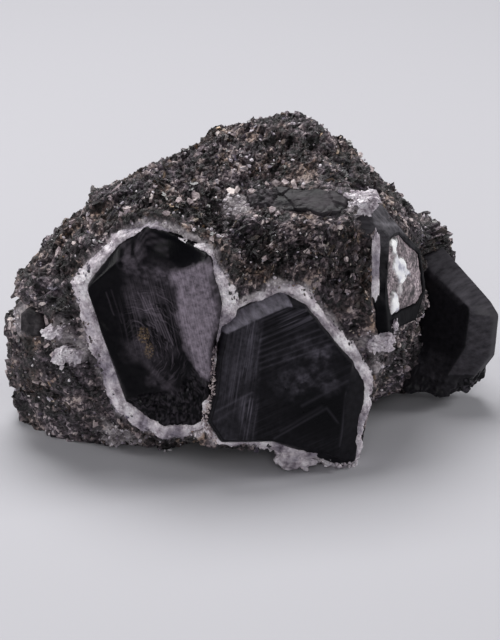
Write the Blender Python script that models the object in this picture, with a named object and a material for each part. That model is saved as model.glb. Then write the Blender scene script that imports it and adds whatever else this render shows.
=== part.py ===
"""Sapphirine specimen: dark tabular crystals with white feldspar rims, standing in a rock of mica grains.

The sizes below are millimetres; the meshes are made in metres. X runs to the right as seen from the
front, Y away from the viewer and Z up. The rock stands on its flat foot at Z = 0.
"""

import bmesh
import bpy
import numpy as np

MM = 0.001
GAP = 0.3  # clear space between neighbouring pieces
SHIFT = np.array([-1.1, -1.6, 0.0])  # brings the middle of the finished piece over the origin

# Rock
ROCK_CENTRE = np.array([-2.0, 2.0, 26.0])  # every point of the rock is in plain sight from here
ROCK_STEPS = 23  # squares along each side of the six-sided grid that makes the rock
SETTLE_HOLD = 1.8  # how far outside a crystal the rock keeps the level of its seat
SETTLE_REACH = 5.0  # how much further it takes to come back to its own form
VIEW_LIMIT = 35.0  # in front of the right crystal and right above it the rock ends at this x
ROCK_TOP = [
    (7, 12, 61.2), (2.5, 11, 61.4), (-5, 9, 60.4), (-13, 8, 57.6), (-21, 8, 53), (-29, 6, 49.8),
    (-37, 4, 43.7), (-42, 2, 37.2), (-44.8, 1, 32.5), (-49.2, -1, 23.5), (-48.6, -2, 14),
    (-47.6, -2.5, 6.5), (14, 12.5, 59), (18, 13, 56.6), (25, 15, 51), (28, 17, 48.2), (30.5, 18, 46.4),
    (34, 21, 43), (37.5, 23, 38.6), (40, 24, 34.5), (41.5, 25, 28),
]
ROCK_FRONT = [
    (-19.5, -13.5, 51.5), (-20, -4, 53.5), (-27.5, -9, 49.5), (-32.5, -10, 45.5), (-10, -6, 54.5),
    (-10, -13.5, 50), (-4, -15, 48), (-2, -18, 41.5), (-37.5, -9, 40), (-42, -9, 31.5),
    (-46, -7, 22), (-40, -14, 24), (-40, -13, 13.5), (-31, -19, 14), (-38.5, -10, 4.5),
    (-28, -14.5, 3), (10, -16.5, 38), (10, -15, 45), (10, -12.5, 50.5), (2, -14, 48.5),
    (18.5, -12.5, 47), (19, -15, 39.5), (2, -17.5, 41.5), (9, -4.5, 56), (-2, -4, 56),
    (18, -4, 55), (9, 3, 59), (18, 3, 56.5), (-2, 3, 59), (22, -6, 50.5), (23.8, -14.6, 34),
    (25, -14, 24), (27.5, -5, 11), (31, 5, 4.5),
]
ROCK_BACK = [
    (34, 4, 27), (34.5, 6.5, 20), (33.5, 6.5, 10), (40.5, 25, 18), (38, 24, 6), (0, 22, 57), (-20, 20, 48),
    (20, 25, 47), (-35, 18, 37), (-43, 14, 26), (-42, 14, 12), (-28, 28, 32), (-8, 30, 40),
    (12, 31, 36), (30, 31, 28), (-20, 30, 18), (4, 30.5, 22), (24, 30, 12), (-8, 29, 8), (33, 28, 5),
]
ROCK_FOOT = [
    (-46, -3, 0), (-42, -6, 0), (-30, -11.5, 0), (-21, -13.5, 0), (-12, -10.5, 0), (-2, -8.5, 0),
    (10, -8.5, 0), (15.5, -6, 0), (18.5, 0, 0), (22.5, 8, 0), (28, 13, 0), (20, -4.5, 4), (32, 20, 0), (24, 26, 0),
    (4, 27, 0), (-20, 26, 0), (-36, 17, 0), (-45, 6, 0), (-8, 4, -7), (-30, 2, -6), (10, 10, -6),
]
ROCK_BREAKS = [  # a point and the outward way of each large broken face at the sides and the back
    ((0, 18.5, 56.5), (-0.1, 0.7, 0.71)), ((-8, 27, 30), (-0.08, 0.98, 0.16)),
    ((-34, 17, 25), (-0.72, 0.66, 0.2)), ((36, 29, 20), (0.5, 0.86, -0.05)),
    ((16, 29, 42), (0.3, 0.8, 0.52)), ((-22, 16, 48), (-0.5, 0.42, 0.76)),
    ((34, 18, 40.2), (0.627, 0.317, 0.711)),
]
ROCK_LUMPS = ((13.0, 1.1, 0.16, 3), (6.5, 0.55, 0.2, 8))  # block size, step, tilt and chance number

# Crystals: anchor, turn to the left, lean back, then outlines in the plane of the face. Each corner
# is x to the right, y up the face and depth behind the face, listed clockwise from the top left.
LEFT_SEAT = ((-7.0, -26.0, 30.5), 15.0, 8.0)
LEFT_DEPTH = 10.5
LEFT_OUTLINE = [
    (-20.6, 17.0, 2.2), (-15.4, 21.0, 3.4), (-11.6, 20.4, 3.4), (-2.2, 16.6, 3.0), (1.0, 6.9, 2.4),
    (0.1, -0.7, 2.0), (-0.3, -9.1, 2.0), (-0.9, -16.5, 2.6), (-3.8, -19.6, 3.0), (-10.3, -21.0, 3.2),
    (-14.7, -19.0, 3.0), (-18.2, -16.3, 2.4), (-22.5, -4.4, 2.0), (-26.8, 7.4, 2.0), (-26.0, 9.0, 2.0),
]
LEFT_FACE = [
    (-19.8, 13.4, 0.0), (-14.2, 14.3, 0.0), (-9.8, 13.3, 0.0), (-2.7, 14.9, 0.0), (0.5, 6.6, 0.0),
    (-0.4, -0.8, 0.0), (-0.8, -8.4, 0.0), (-2.2, -12.6, 1.3), (-5.4, -15.2, 0.7), (-10.2, -16.8, 1.5),
    (-13.9, -15.4, 0.8), (-17.4, -13.6, 0.5), (-21.7, -4.0, 0.0), (-26.0, 7.2, 0.0), (-25.2, 8.6, 0.0),
]
LEFT_HOLLOW = [
    (-18.0, 10.8, 0.65), (-14.0, 11.6, 0.93), (-10.6, 10.8, 1.17), (-8.4, 9.6, 1.32),
    (-7.6, 4.7, 1.38), (-6.6, 0.2, 1.45), (-5.4, -4.6, 1.53), (-6.8, -8.2, 1.43), (-8.2, -10.6, 1.34),
    (-10.6, -11.8, 1.17), (-13.4, -11.6, 0.97), (-16.2, -10.8, 0.78), (-20.4, -3.4, 0.48),
    (-24.4, 6.0, 0.2), (-23.4, 7.8, 0.27),
]
LEFT_RIM = (2.0, 1.0, 0.9, 1.2, 1.4, 0.9, 0.7, 1.2, 2.0, 1.6, 2.2, 3.2, 3.9, 4.0, 4.4)

CENTRE_SEAT = ((-6.0, -27.5, 27.5), -18.0, 7.0)
CENTRE_DEPTH = 11.0
CENTRE_FACE = [
    (2.0, 4.6), (8.4, 6.7), (14.6, 8.5), (18.1, 7.4), (27.3, -5.4), (26.6, -9.0), (25.6, -12.4),
    (25.0, -19.4), (23.8, -24.6), (19.2, -21.8), (10.1, -18.8), (0.3, -17.4), (-2.2, -13.0),
    (-0.5, -7.7), (0.6, -0.3),
]
CENTRE_OUTLINE = [
    (1.5, 6.2, 4.4), (8.1, 8.5, 4.6), (14.4, 10.4, 4.6), (19.0, 8.5, 3.6), (28.6, -5.0, 2.2),
    (31.4, -10.8, 1.8), (30.8, -13.8, 2.0), (29.7, -18.8, 2.0), (28.4, -26.4, 1.8), (25.6, -27.3, 1.4),
    (11.0, -19.8, 2.0), (0.0, -18.1, 1.2), (-2.6, -13.2, 0.8), (-0.8, -7.7, 0.8), (0.3, -0.2, 1.2),
]
CENTRE_RIM = (1.3, 1.2, 1.8, 1.9, 1.8, 1.2, 1.0, 0.9, 0.6, 0.6, 1.6, 1.2, 1.0, 0.7, 0.7)

RIGHT_SEAT = ((45.1, 6.0, 23.3), 30.0, 13.0)
RIGHT_DEPTH = 9.0
RIGHT_FACE = [
    (-19.5, 3.8), (-12.4, 7.4), (0.0, 0.0), (0.3, -1.6), (0.3, -8.6), (-5.0, -19.8), (-11.9, -20.6),
    (-19.5, -15.0),
]
RIGHT_BACK = [
    (-19.0, 6.0), (-11.8, 9.6), (0.9, 0.3), (3.1, -2.1), (3.4, -10.6), (-1.5, -19.0), (-12.0, -19.6),
    (-19.0, -15.0),
]
RIGHT_BASE_MIDDLE = (43.6, 11.6, 7.6)  # rough lump where the lower end of this crystal broke off
RIGHT_BASE_HALF = (5.6, 5.0, 6.0)

EDGE_SEAT = ((31.0, -6.0, 34.5), -62.0, 8.0)
EDGE_DEPTH = 11.0
EDGE_FACE = [
    (-4.7, 11.0), (-2.4, 11.4), (-0.1, 10.9), (8.2, 3.5), (8.6, -5.4), (3.0, -9.6), (-3.9, -8.2),
    (-8.4, -8.6), (-9.8, -7.0), (-9.6, -0.6),
]
EDGE_WINDOW = [
    (-4.8, 9.9), (-2.4, 10.1), (-0.4, 9.6), (7.2, 2.8), (7.3, -5.3), (4.2, -6.4), (-2.6, -5.2),
    (-7.2, -4.6), (-7.8, -2.2), (-7.4, 3.0),
]
EDGE_OUTLINE = [
    (-5.6, 14.6, 3.6), (-2.0, 16.4, 4.4), (3.4, 14.6, 5.0), (9.8, 5.2, 4.0), (10.2, -6.0, 4.0),
    (3.8, -11.0, 3.4), (-4.0, -9.6, 2.4), (-9.2, -9.8, 1.8), (-10.8, -7.4, 1.6), (-10.5, 0.0, 1.6),
]
EDGE_WINDOW_DEPTH = 2.4

UPPER_SEAT = ((9.0, -8.0, 53.0), 5.0, 62.0)
UPPER_DEPTH = 4.5
UPPER_FACE = [
    (-9.8, 0.4), (-7.2, 2.2), (-3.2, 2.9), (1.2, 2.4), (3.8, 3.0), (8.2, 2.2), (10.6, 0.2),
    (9.4, -3.4), (5.2, -4.2), (2.0, -3.0), (-2.8, -3.3), (-6.4, -2.2), (-9.2, -2.6),
]

SMALL_SEAT = ((-44.0, -10.2, 26.8), 34.0, 10.0)
SMALL_DEPTH = 5.0
SMALL_FACE = [(-3.0, 1.4), (-1.2, 2.9), (1.7, 2.7), (3.1, 0.9), (2.7, -1.8), (0.4, -2.8), (-2.6, -2.2)]

# Feldspar lumps: middle, which is then brought to the rock surface, half sizes and chance number
PATCHES = {
    "feldspar_left": [((-36.4, -15.4, 26.8), (4.2, 2.0, 1.9), 4), ((-34.0, -16.4, 24), (3.0, 1.8, 2.9), 5)],
    "feldspar_right": [((23.6, -13.5, 25.2), (3.2, 2.2, 2.4), 6)],
    "feldspar_strip": [((26.0, -12.6, 40.9), (1.2, 1.5, 7.0), 7)],
    "feldspar_top": [((20.8, -7.4, 50.8), (3.6, 2.2, 2.4), 9)],
}
STRIP_LEAN = 0.3  # the strip goes back by this much for each millimetre up
TONGUE = ((15.8, -23.6, 3.2), (3.6, 1.4, 2.9), 11)  # this one on the centre face's plane

FINISHES = {  # linear colour, roughness, metallic
    "mica_rock": ((0.045, 0.037, 0.036), 0.55, 0.0),
    "sapphirine": ((0.010, 0.010, 0.013), 0.28, 0.0),
    "feldspar": ((0.52, 0.50, 0.50), 0.5, 0.0),
}


# Chance numbers
def dice(cells, seed):
    """A repeatable number from 0 to 1 for every whole-number cell."""
    n = np.asarray(cells).astype(np.int64)
    h = n[..., 0] * 73856093 ^ n[..., 1] * 19349663 ^ n[..., 2] * 83492791 ^ seed * 40503001
    for turn in (13, 16, 11):
        h = h & 0xFFFFFFFF
        h = ((h ^ (h >> turn)) * 1274126177) & 0xFFFFFFFF
    return h / 4294967296.0


def blocks(points, size, step, tilt, seed):
    """Broken blocks: each point takes the height and the slope of its nearest scattered centre."""
    q = points / size
    cell = np.floor(q)
    best = np.full(len(q), 9.0)
    found = np.zeros(len(q))
    corners = np.indices((3, 3, 3)).reshape(3, -1).T - 1
    for corner in corners:
        near = cell + corner
        away = q - near - np.stack([dice(near, seed + k) for k in range(3)], -1)
        slope = np.stack([dice(near, seed + 3 + k) for k in range(3)], -1) * 2 - 1
        height = step * (dice(near, seed + 6) * 2 - 1) + tilt * size * (away * slope).sum(-1)
        far = (away**2).sum(-1)
        found = np.where(far < best, height, found)
        best = np.minimum(far, best)
    return found


# Planes of the crystal faces
def plane(seat):
    """Anchor, right, up and outward directions of a face that is turned left and leans back."""
    turn, lean = np.radians(seat[1]), np.radians(seat[2])
    out = np.array([-np.sin(turn) * np.cos(lean), -np.cos(turn) * np.cos(lean), np.sin(lean)])
    right = np.array([np.cos(turn), -np.sin(turn), 0.0])
    return np.array(seat[0]), right, np.cross(right, -out), out


def placed(seat, corners):
    """Corners x, y, depth in the plane of a face, as points of the specimen."""
    anchor, right, up, out = plane(seat)
    c = np.asarray(corners, float)
    return anchor + c[:, :1] * right + c[:, 1:2] * up - c[:, 2:3] * out


def miters(outline):
    """For each corner of a clockwise outline, the way out that moves both its sides by one."""
    p = np.asarray(outline, float)[:, :2]
    side = np.roll(p, -1, 0) - p
    side /= np.linalg.norm(side, axis=1, keepdims=True)
    normal = np.stack([-side[:, 1], side[:, 0]], -1)
    before = np.roll(normal, 1, 0)
    both = normal + before
    return both / np.maximum(1 + (normal * before).sum(1), 0.6)[:, None]


def grown(outline, by):
    """The outline with its sides moved out, at the same depths."""
    p = np.array(outline, float)
    p[:, :2] += miters(outline) * by
    return p


def flat(outline, depth):
    """The outline with one depth all round."""
    p = np.asarray(outline, float)[:, :2]
    return np.concatenate([p, np.full((len(p), 1), float(depth))], 1)


def outside(points, outline):
    """How far 2-D points are outside the outline; less than zero within it."""
    p = np.asarray(outline, float)[:, :2]
    q = np.roll(p, -1, 0)
    least = np.full(len(points), 1e9)
    inside = np.zeros(len(points), bool)
    for a, b in zip(p, q):
        side = b - a
        along = np.clip((points - a) @ side / (side @ side), 0, 1)
        least = np.minimum(least, np.linalg.norm(points - a - along[:, None] * side, axis=1))
        crosses = (a[1] > points[:, 1]) != (b[1] > points[:, 1])
        rise = side[1] if side[1] else 1e-9
        inside ^= crosses & (points[:, 0] < a[0] + (points[:, 1] - a[1]) * side[0] / rise)
    return np.where(inside, -least, least)


# Meshes
def add_mesh(name, points, faces):
    """A mesh object from points in millimetres, all triangles, facing out."""
    mesh = bpy.data.meshes.new(name)
    mesh.from_pydata((np.asarray(points) + SHIFT) * MM, [], [list(map(int, f)) for f in faces])
    shape = bmesh.new()
    shape.from_mesh(mesh)
    bmesh.ops.triangulate(shape, faces=shape.faces)
    bmesh.ops.recalc_face_normals(shape, faces=shape.faces)
    shape.to_mesh(mesh)
    shape.free()
    obj = bpy.data.objects.new(name, mesh)
    bpy.context.scene.collection.objects.link(obj)
    return obj


def loft(name, seat, rings):
    """A closed body through rings of matching corners, from the front one to the back one."""
    count = len(rings[0])
    points = np.concatenate([placed(seat, ring) for ring in rings])
    faces = [list(range(count)), list(range(len(points) - 1, len(points) - 1 - count, -1))]
    for r in range(len(rings) - 1):
        a, b = r * count, (r + 1) * count
        faces += [[a + k, a + (k + 1) % count, b + (k + 1) % count, b + k] for k in range(count)]
    return add_mesh(name, points, faces)


def combine(target, others, operation):
    """Joins or cuts the target with the others, which are used up."""
    for other in others:
        step = target.modifiers.new("step", "BOOLEAN")
        step.object, step.operation, step.solver = other, operation, "EXACT"
        bpy.context.view_layer.update()
        made = bpy.data.meshes.new_from_object(
            target.evaluated_get(bpy.context.evaluated_depsgraph_get())
        )
        target.modifiers.clear()
        target.data = made
    for other in others:
        bpy.data.objects.remove(other)
    return target


def keep_largest(obj):
    """Leaves only the largest body, so no loose chip of rock stays between two crystals."""
    shape = bmesh.new()
    shape.from_mesh(obj.data)
    bmesh.ops.triangulate(shape, faces=shape.faces)
    left, bodies = set(shape.verts), []
    while left:
        body, edge = set(), {left.pop()}
        while edge:
            vert = edge.pop()
            body.add(vert)
            edge |= {e.other_vert(vert) for e in vert.link_edges} - body
        left -= body
        bodies.append(body)
    bodies.sort(key=len)
    for body in bodies[:-1]:
        bmesh.ops.delete(shape, geom=list(body), context="VERTS")
    shape.to_mesh(obj.data)
    shape.free()
    return obj


def finish(obj, slot, smooth=False):
    """Gives the object its material."""
    material = bpy.data.materials.get(slot) or bpy.data.materials.new(slot)
    material.use_nodes = True
    look = material.node_tree.nodes["Principled BSDF"].inputs
    colour, roughness, metallic = FINISHES[slot]
    look["Base Color"].default_value = (*colour, 1.0)
    look["Roughness"].default_value = roughness
    look["Metallic"].default_value = metallic
    obj.data.materials.clear()
    obj.data.materials.append(material)
    for face in obj.data.polygons:
        face.use_smooth = smooth


# Rock surface
def rock_fit():
    """Weights of a smooth surface through the rock points, as radius over direction."""
    points = np.array(ROCK_TOP + ROCK_FRONT + ROCK_BACK + ROCK_FOOT, float) - ROCK_CENTRE
    radius = np.linalg.norm(points, axis=1)
    ways = points / radius[:, None]
    count = len(ways)
    system = np.ones((count + 1, count + 1))
    system[:count, :count] = np.sqrt(((ways[:, None] - ways[None]) ** 2).sum(-1) + 0.01)
    system[count, count] = 0.0
    return ways, np.linalg.solve(system, np.append(radius, 0.0))


def seats():
    """Seat, outline, depth of the rock behind the face, and reach of every crystal set in the rock."""
    return (
        (LEFT_SEAT, LEFT_OUTLINE, 4.0, SETTLE_REACH),
        (CENTRE_SEAT, CENTRE_OUTLINE, 5.0, SETTLE_REACH),
        (EDGE_SEAT, EDGE_FACE, 1.8, 2.0),
        (UPPER_SEAT, UPPER_FACE, 0.3, 2.5),
        (SMALL_SEAT, SMALL_FACE, 1.6, 2.0),
    )


def open_view(ways, radius):
    """Takes the rock back, a quarter of a millimetre at a time, where it would stand in front of the
    right crystal and hide it, or hang over its upper edge."""
    anchor, right, up, out = plane(RIGHT_SEAT)
    for _ in range(60):
        at = ROCK_CENTRE + ways * radius[:, None]
        x, y, ahead = (at - anchor) @ right, (at - anchor) @ up, (at - anchor) @ out
        before = (ahead > -5) & (x < 1.5) & (np.abs(y + 3) < 16)
        rise = 0.407 * at[:, 1] + 0.914 * (at[:, 2] - ROCK_CENTRE[2])
        above = (ahead > -12) & (rise > 3) & (rise < 12.6)
        radius = radius - 0.25 * ((at[:, 0] > VIEW_LIMIT) & (ahead < 16) & (before | above))
    return radius


def rock_surface(ways):
    """Points of the rock in the given directions: smooth form, seats of the crystals, then blocks."""
    known, weights = rock_fit()
    reach = np.sqrt(((ways[:, None] - known[None]) ** 2).sum(-1) + 0.01)
    radius = reach @ weights[:-1] + weights[-1]
    for point, out in ROCK_BREAKS:
        facing = ways @ np.array(out)
        broken = (np.array(point) - ROCK_CENTRE) @ np.array(out) / np.maximum(facing, 0.05)
        radius = np.where(facing > 0.05, np.minimum(radius, broken), radius)
    rough = np.ones(len(ways))
    limits = []
    for seat, outline, depth, margin in seats():
        anchor, right, up, out = plane(seat)
        facing = np.maximum(ways @ out, 0.2)
        flat_radius = (anchor - out * depth - ROCK_CENTRE) @ out / facing
        at = ROCK_CENTRE + ways * flat_radius[:, None] - anchor
        away = outside(np.stack([at @ right, at @ up], -1), outline)
        away[ways @ out < 0.2] = 1e9
        share = np.clip(1 - (away - SETTLE_HOLD) / margin, 0, 1)
        share = share * share * (3 - 2 * share)
        radius = radius * (1 - share) + flat_radius * share
        rough *= 1 - 0.85 * share
        limits.append(np.where(away < 0.5, flat_radius, 1e9))
    radius = open_view(ways, np.minimum(radius, np.min(limits, axis=0)))
    base = ROCK_CENTRE + ways * radius[:, None]
    for size, step, tilt, seed in ROCK_LUMPS:
        radius = radius + rough * blocks(base, size, step, tilt, seed)
    return ROCK_CENTRE + ways * radius[:, None]


def round_grid(steps):
    """Directions and squares of a six-sided grid blown up to a ball, with shared corners made one."""
    line = np.tan(np.linspace(-np.pi / 4, np.pi / 4, steps + 1))
    a, b = np.meshgrid(line, line, indexing="ij")
    one = np.ones_like(a)
    sides = [(one, a, b), (-one, b, a), (b, one, a), (a, -one, b), (a, b, one), (b, a, -one)]
    ways = np.concatenate([np.stack(side, -1).reshape(-1, 3) for side in sides])
    ways /= np.linalg.norm(ways, axis=1, keepdims=True)
    _, first, index = np.unique(np.round(ways, 6), axis=0, return_index=True, return_inverse=True)
    grid = np.arange(6 * (steps + 1) ** 2).reshape(6, steps + 1, steps + 1)
    squares = np.stack([grid[:, :-1, :-1], grid[:, 1:, :-1], grid[:, 1:, 1:], grid[:, :-1, 1:]], -1)
    return ways[first], index.reshape(-1)[squares.reshape(-1, 4)]


def make_rock():
    """The rock, cut flat at the foot."""
    ways, squares = round_grid(ROCK_STEPS)
    points = rock_surface(ways)
    points[np.abs(points[:, 2]) < 0.5, 2] = 0.0
    return cut_flat(add_mesh("matrix", points, squares))


def on_rock(point):
    """The place of the rock surface in the direction of a point."""
    way = np.array(point) - ROCK_CENTRE
    return rock_surface(way[None] / np.linalg.norm(way))[0]


def cut_flat(obj):
    """Cuts away what is below the floor and closes the cut."""
    shape = bmesh.new()
    shape.from_mesh(obj.data)
    everything = shape.verts[:] + shape.edges[:] + shape.faces[:]
    bmesh.ops.bisect_plane(
        shape, geom=everything, dist=1e-6, plane_co=(0, 0, 0), plane_no=(0, 0, 1), clear_inner=True
    )
    bmesh.ops.holes_fill(shape, edges=[e for e in shape.edges if e.is_boundary])
    bmesh.ops.triangulate(shape, faces=shape.faces)
    bmesh.ops.recalc_face_normals(shape, faces=shape.faces)
    shape.to_mesh(obj.data)
    shape.free()
    return obj


def make_lump(name, middle, half, seed, grow=0.0):
    """A rough lump: a ball of 80 triangles, stretched, its corners moved in and out by chance."""
    shape = bmesh.new()
    bmesh.ops.create_icosphere(shape, subdivisions=2, radius=1.0)
    ball = np.array([v.co[:] for v in shape.verts])
    faces = [[v.index for v in f.verts] for f in shape.faces]
    shape.free()
    swell = 0.8 + 0.4 * dice(np.round(ball * 40), seed)
    away = ball * swell[:, None] * (np.array(half) + grow)
    if name == "feldspar_strip":
        away[:, 1] += STRIP_LEAN * away[:, 2]
    return add_mesh(name, np.array(middle) + away, faces)


def make_rim(name, seat, outline, widths, crest, foot, seed, grow=0.0):
    """A band round a crystal: five-cornered section carried along the outline, its width varying."""
    inner = grown(outline, -1.2)
    outer = np.array(outline, float)
    outer[:, :2] += miters(outline) * (np.array(widths)[:, None] + grow)
    shares, owner = [], []
    for k in range(len(outline)):
        length = np.linalg.norm(np.subtract(outline[(k + 1) % len(outer)][:2], outline[k][:2]))
        parts = max(1, round(length / 2.6))
        shares += [p / parts for p in range(parts)]
        owner += [k] * parts
    share, owner = np.array(shares)[:, None], np.array(owner)
    after = (owner + 1) % len(outer)
    near = inner[owner, :2] * (1 - share) + inner[after, :2] * share
    far = outer[owner, :2] * (1 - share) + outer[after, :2] * share
    chance = dice(np.stack([np.arange(len(far)), owner * 0, owner * 0], -1), seed)[:, None]
    twin = dice(np.stack([np.arange(len(far)), owner * 0, owner * 0], -1), seed + 1)[:, None]
    way = (far - near) / np.linalg.norm(far - near, axis=1, keepdims=True)
    far = far + way * (chance - 0.5) * 0.9
    top = crest + (twin - 0.5) * 0.8 - grow
    middle = near * 0.45 + far * 0.55
    section = [(near, foot + grow + 0 * top), (near, top + 0.3), (middle, top), (far, top + 1.0)]
    section += [(far + way * 0.6, foot + grow + 0 * top)]
    rows = np.stack([np.concatenate([at, depth], 1) for at, depth in section])
    count = rows.shape[1]
    points = placed(seat, rows.reshape(-1, 3))
    faces = []
    for r in range(5):
        a, b = r * count, (r + 1) % 5 * count
        faces += [[a + k, a + (k + 1) % count, b + (k + 1) % count, b + k] for k in range(count)]
    return add_mesh(name, points, faces)


def make_crystals(grow=0.0):
    """The six crystals; grown ones are the cutters that clear their places."""
    front = -2.5 if grow else 0.0
    made = {}

    def rings(*shown, cleared, back):
        if grow:
            return [flat(grown(cleared[0], grow), front)] + [grown(r, grow) for r in cleared] + [back]
        return [*shown, back]

    back = flat(grown(LEFT_OUTLINE, grow), LEFT_DEPTH + grow)
    made["left_crystal"] = loft(
        "left_crystal",
        LEFT_SEAT,
        rings(LEFT_HOLLOW, LEFT_FACE, LEFT_OUTLINE, cleared=[LEFT_OUTLINE], back=back),
    )
    back = flat(grown(CENTRE_OUTLINE, grow), CENTRE_DEPTH + grow)
    made["centre_crystal"] = loft(
        "centre_crystal",
        CENTRE_SEAT,
        rings(flat(CENTRE_FACE, 0), CENTRE_OUTLINE, cleared=[CENTRE_OUTLINE], back=back),
    )
    wide = flat(grown(RIGHT_BACK, grow), 0.6 * RIGHT_DEPTH)
    face = flat(grown(RIGHT_FACE, grow), -grow)
    back = flat(grown(RIGHT_BACK, grow), RIGHT_DEPTH + grow)
    right = loft("right_crystal", RIGHT_SEAT, [face, wide, back])
    base = make_lump("base", RIGHT_BASE_MIDDLE, RIGHT_BASE_HALF, 12, grow)
    made["right_crystal"] = combine(right, [base], "UNION")
    back = flat(grown(EDGE_OUTLINE, grow), EDGE_DEPTH + grow)
    window = flat(EDGE_WINDOW, 0)
    made["edge_crystal"] = loft(
        "edge_crystal",
        EDGE_SEAT,
        rings(
            flat(window, EDGE_WINDOW_DEPTH), window, flat(EDGE_FACE, 0), EDGE_OUTLINE,
            cleared=[EDGE_OUTLINE], back=back,
        ),
    )
    back = flat(grown(UPPER_FACE, grow), UPPER_DEPTH + grow)
    made["upper_crystal"] = loft(
        "upper_crystal",
        UPPER_SEAT,
        rings(flat(grown(flat(UPPER_FACE, 0), -0.4), 0), flat(UPPER_FACE, 0.5),
              cleared=[flat(UPPER_FACE, 0.5)], back=back),
    )
    back = flat(grown(SMALL_FACE, grow), SMALL_DEPTH + grow)
    made["small_left_crystal"] = loft(
        "small_left_crystal",
        SMALL_SEAT,
        rings(flat(grown(flat(SMALL_FACE, 0), -0.6), 0), flat(SMALL_FACE, 0.7),
              cleared=[flat(SMALL_FACE, 0.7)], back=back),
    )
    for name, obj in made.items():
        obj.name = name if not grow else name + "_cutter"
    return made


def make_rims(grow=0.0):
    """The joined rims of the two large crystals, with the tongue that hangs below the centre one."""
    rim = make_rim("feldspar_rim", LEFT_SEAT, LEFT_OUTLINE, LEFT_RIM, 2.5, 7.0, 21, grow)
    other = make_rim("rim", CENTRE_SEAT, CENTRE_OUTLINE, CENTRE_RIM, 3.8, 8.6, 31, grow)
    middle, half, seed = TONGUE
    tongue = make_lump("lump", placed(CENTRE_SEAT, [middle])[0], half, seed, grow)
    return combine(rim, [other, tongue], "UNION")


def make_patches(grow=0.0):
    """The feldspar patches that stand alone in the rock."""
    made = []
    for name, lumps in PATCHES.items():
        first, *rest = [make_lump(name, on_rock(at), half, seed, grow) for at, half, seed in lumps]
        made.append(combine(first, rest, "UNION"))
    return made


def main():
    for obj in list(bpy.data.objects):
        bpy.data.objects.remove(obj)

    crystals = make_crystals()
    combine(crystals["left_crystal"], [make_crystals(GAP)["centre_crystal"]], "DIFFERENCE")
    for obj in [o for o in bpy.data.objects if o.name.endswith("_cutter")]:
        bpy.data.objects.remove(obj)

    rim, patches = make_rims(), make_patches()
    combine(rim, list(make_crystals(GAP).values()), "DIFFERENCE")
    for patch in patches:
        combine(patch, [*make_crystals(GAP).values(), make_rims(GAP)], "DIFFERENCE")

    rock = make_rock()
    cutters = [*make_crystals(GAP).values(), make_rims(GAP), *make_patches(GAP)]
    combine(rock, cutters, "DIFFERENCE")

    window = grown(flat(EDGE_WINDOW, 0), -GAP)
    filling = loft(
        "feldspar_filling",
        EDGE_SEAT,
        [flat(grown(window, -0.8), 0.2), flat(window, 0.9), flat(window, EDGE_WINDOW_DEPTH - GAP)],
    )

    for obj in (rock, rim, *patches, *crystals.values()):
        cut_flat(keep_largest(obj))
    finish(rock, "mica_rock")
    for obj in (rim, filling, *patches):
        finish(obj, "feldspar")
    for obj in crystals.values():
        finish(obj, "sapphirine")


main()
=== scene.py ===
# %% [markdown]
# # A sapphirine specimen
# Flat, almost black crystals of sapphirine stand in a rock of mica flakes, each big one framed by a
# band of white feldspar. The solids give the main shapes. This lesson builds what they can't hold:
# thousands of flakes and grains, crystal faces with growth lines and worn edges, and the finishes.

import bpy
import numpy as np
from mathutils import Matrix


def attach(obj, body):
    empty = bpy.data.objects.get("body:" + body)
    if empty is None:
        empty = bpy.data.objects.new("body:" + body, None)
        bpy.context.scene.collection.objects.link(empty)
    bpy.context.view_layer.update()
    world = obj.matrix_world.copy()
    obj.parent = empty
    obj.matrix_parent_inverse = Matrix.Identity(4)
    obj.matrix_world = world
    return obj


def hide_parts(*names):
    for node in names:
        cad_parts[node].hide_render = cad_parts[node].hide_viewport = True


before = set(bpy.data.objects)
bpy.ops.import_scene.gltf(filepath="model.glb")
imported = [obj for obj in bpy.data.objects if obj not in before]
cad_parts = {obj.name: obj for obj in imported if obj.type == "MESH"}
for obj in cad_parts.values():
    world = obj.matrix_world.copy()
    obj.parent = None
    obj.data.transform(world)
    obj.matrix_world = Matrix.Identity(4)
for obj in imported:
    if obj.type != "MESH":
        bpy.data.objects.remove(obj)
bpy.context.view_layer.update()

print("solids:", sorted(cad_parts))

# %% [markdown]
# ## Camera, floor and light
# The specimen stands on a plain pale floor. The camera looks down at it from 24 degrees with a long
# lens, as in a studio picture of a mineral, so there is hardly any perspective. The light is soft and
# comes mainly from above and behind: it draws the outlines and the upper edges of the crystals, while
# their front faces, which mirror the darker room, stay almost black.

# %% Camera
MM = 0.001
LENS, DISTANCE, TILT = 166.0, 600 * MM, np.radians(24.0)
TARGET = np.array([-1.1, -1.6, 23.1]) * MM


def aim(obj, place, target):
    """Puts an object at a place and turns its -Z axis to the target."""
    way = np.asarray(target, float) - place
    level = np.hypot(way[0], way[1])
    obj.location = place
    obj.rotation_euler = (np.pi / 2 + np.arctan2(way[2], level), 0, np.arctan2(-way[0], way[1]))


camera = bpy.data.objects.new("camera", bpy.data.cameras.new("camera"))
camera.data.lens, camera.data.sensor_width = LENS, 36.0
camera.data.clip_start, camera.data.clip_end = 0.01, 20.0
bpy.context.scene.collection.objects.link(camera)
bpy.context.scene.camera = camera
aim(camera, TARGET + DISTANCE * np.array([0, -np.cos(TILT), np.sin(TILT)]), TARGET)
print("camera at", np.round(camera.location, 3))


# %% Soft lights and the room
def soft_light(name, place, size, power):
    """A square lamp that faces the specimen."""
    lamp = bpy.data.lights.new(name, "AREA")
    lamp.shape, lamp.size, lamp.energy = "SQUARE", size, power
    obj = bpy.data.objects.new(name, lamp)
    bpy.context.scene.collection.objects.link(obj)
    aim(obj, np.array(place), TARGET)


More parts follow.
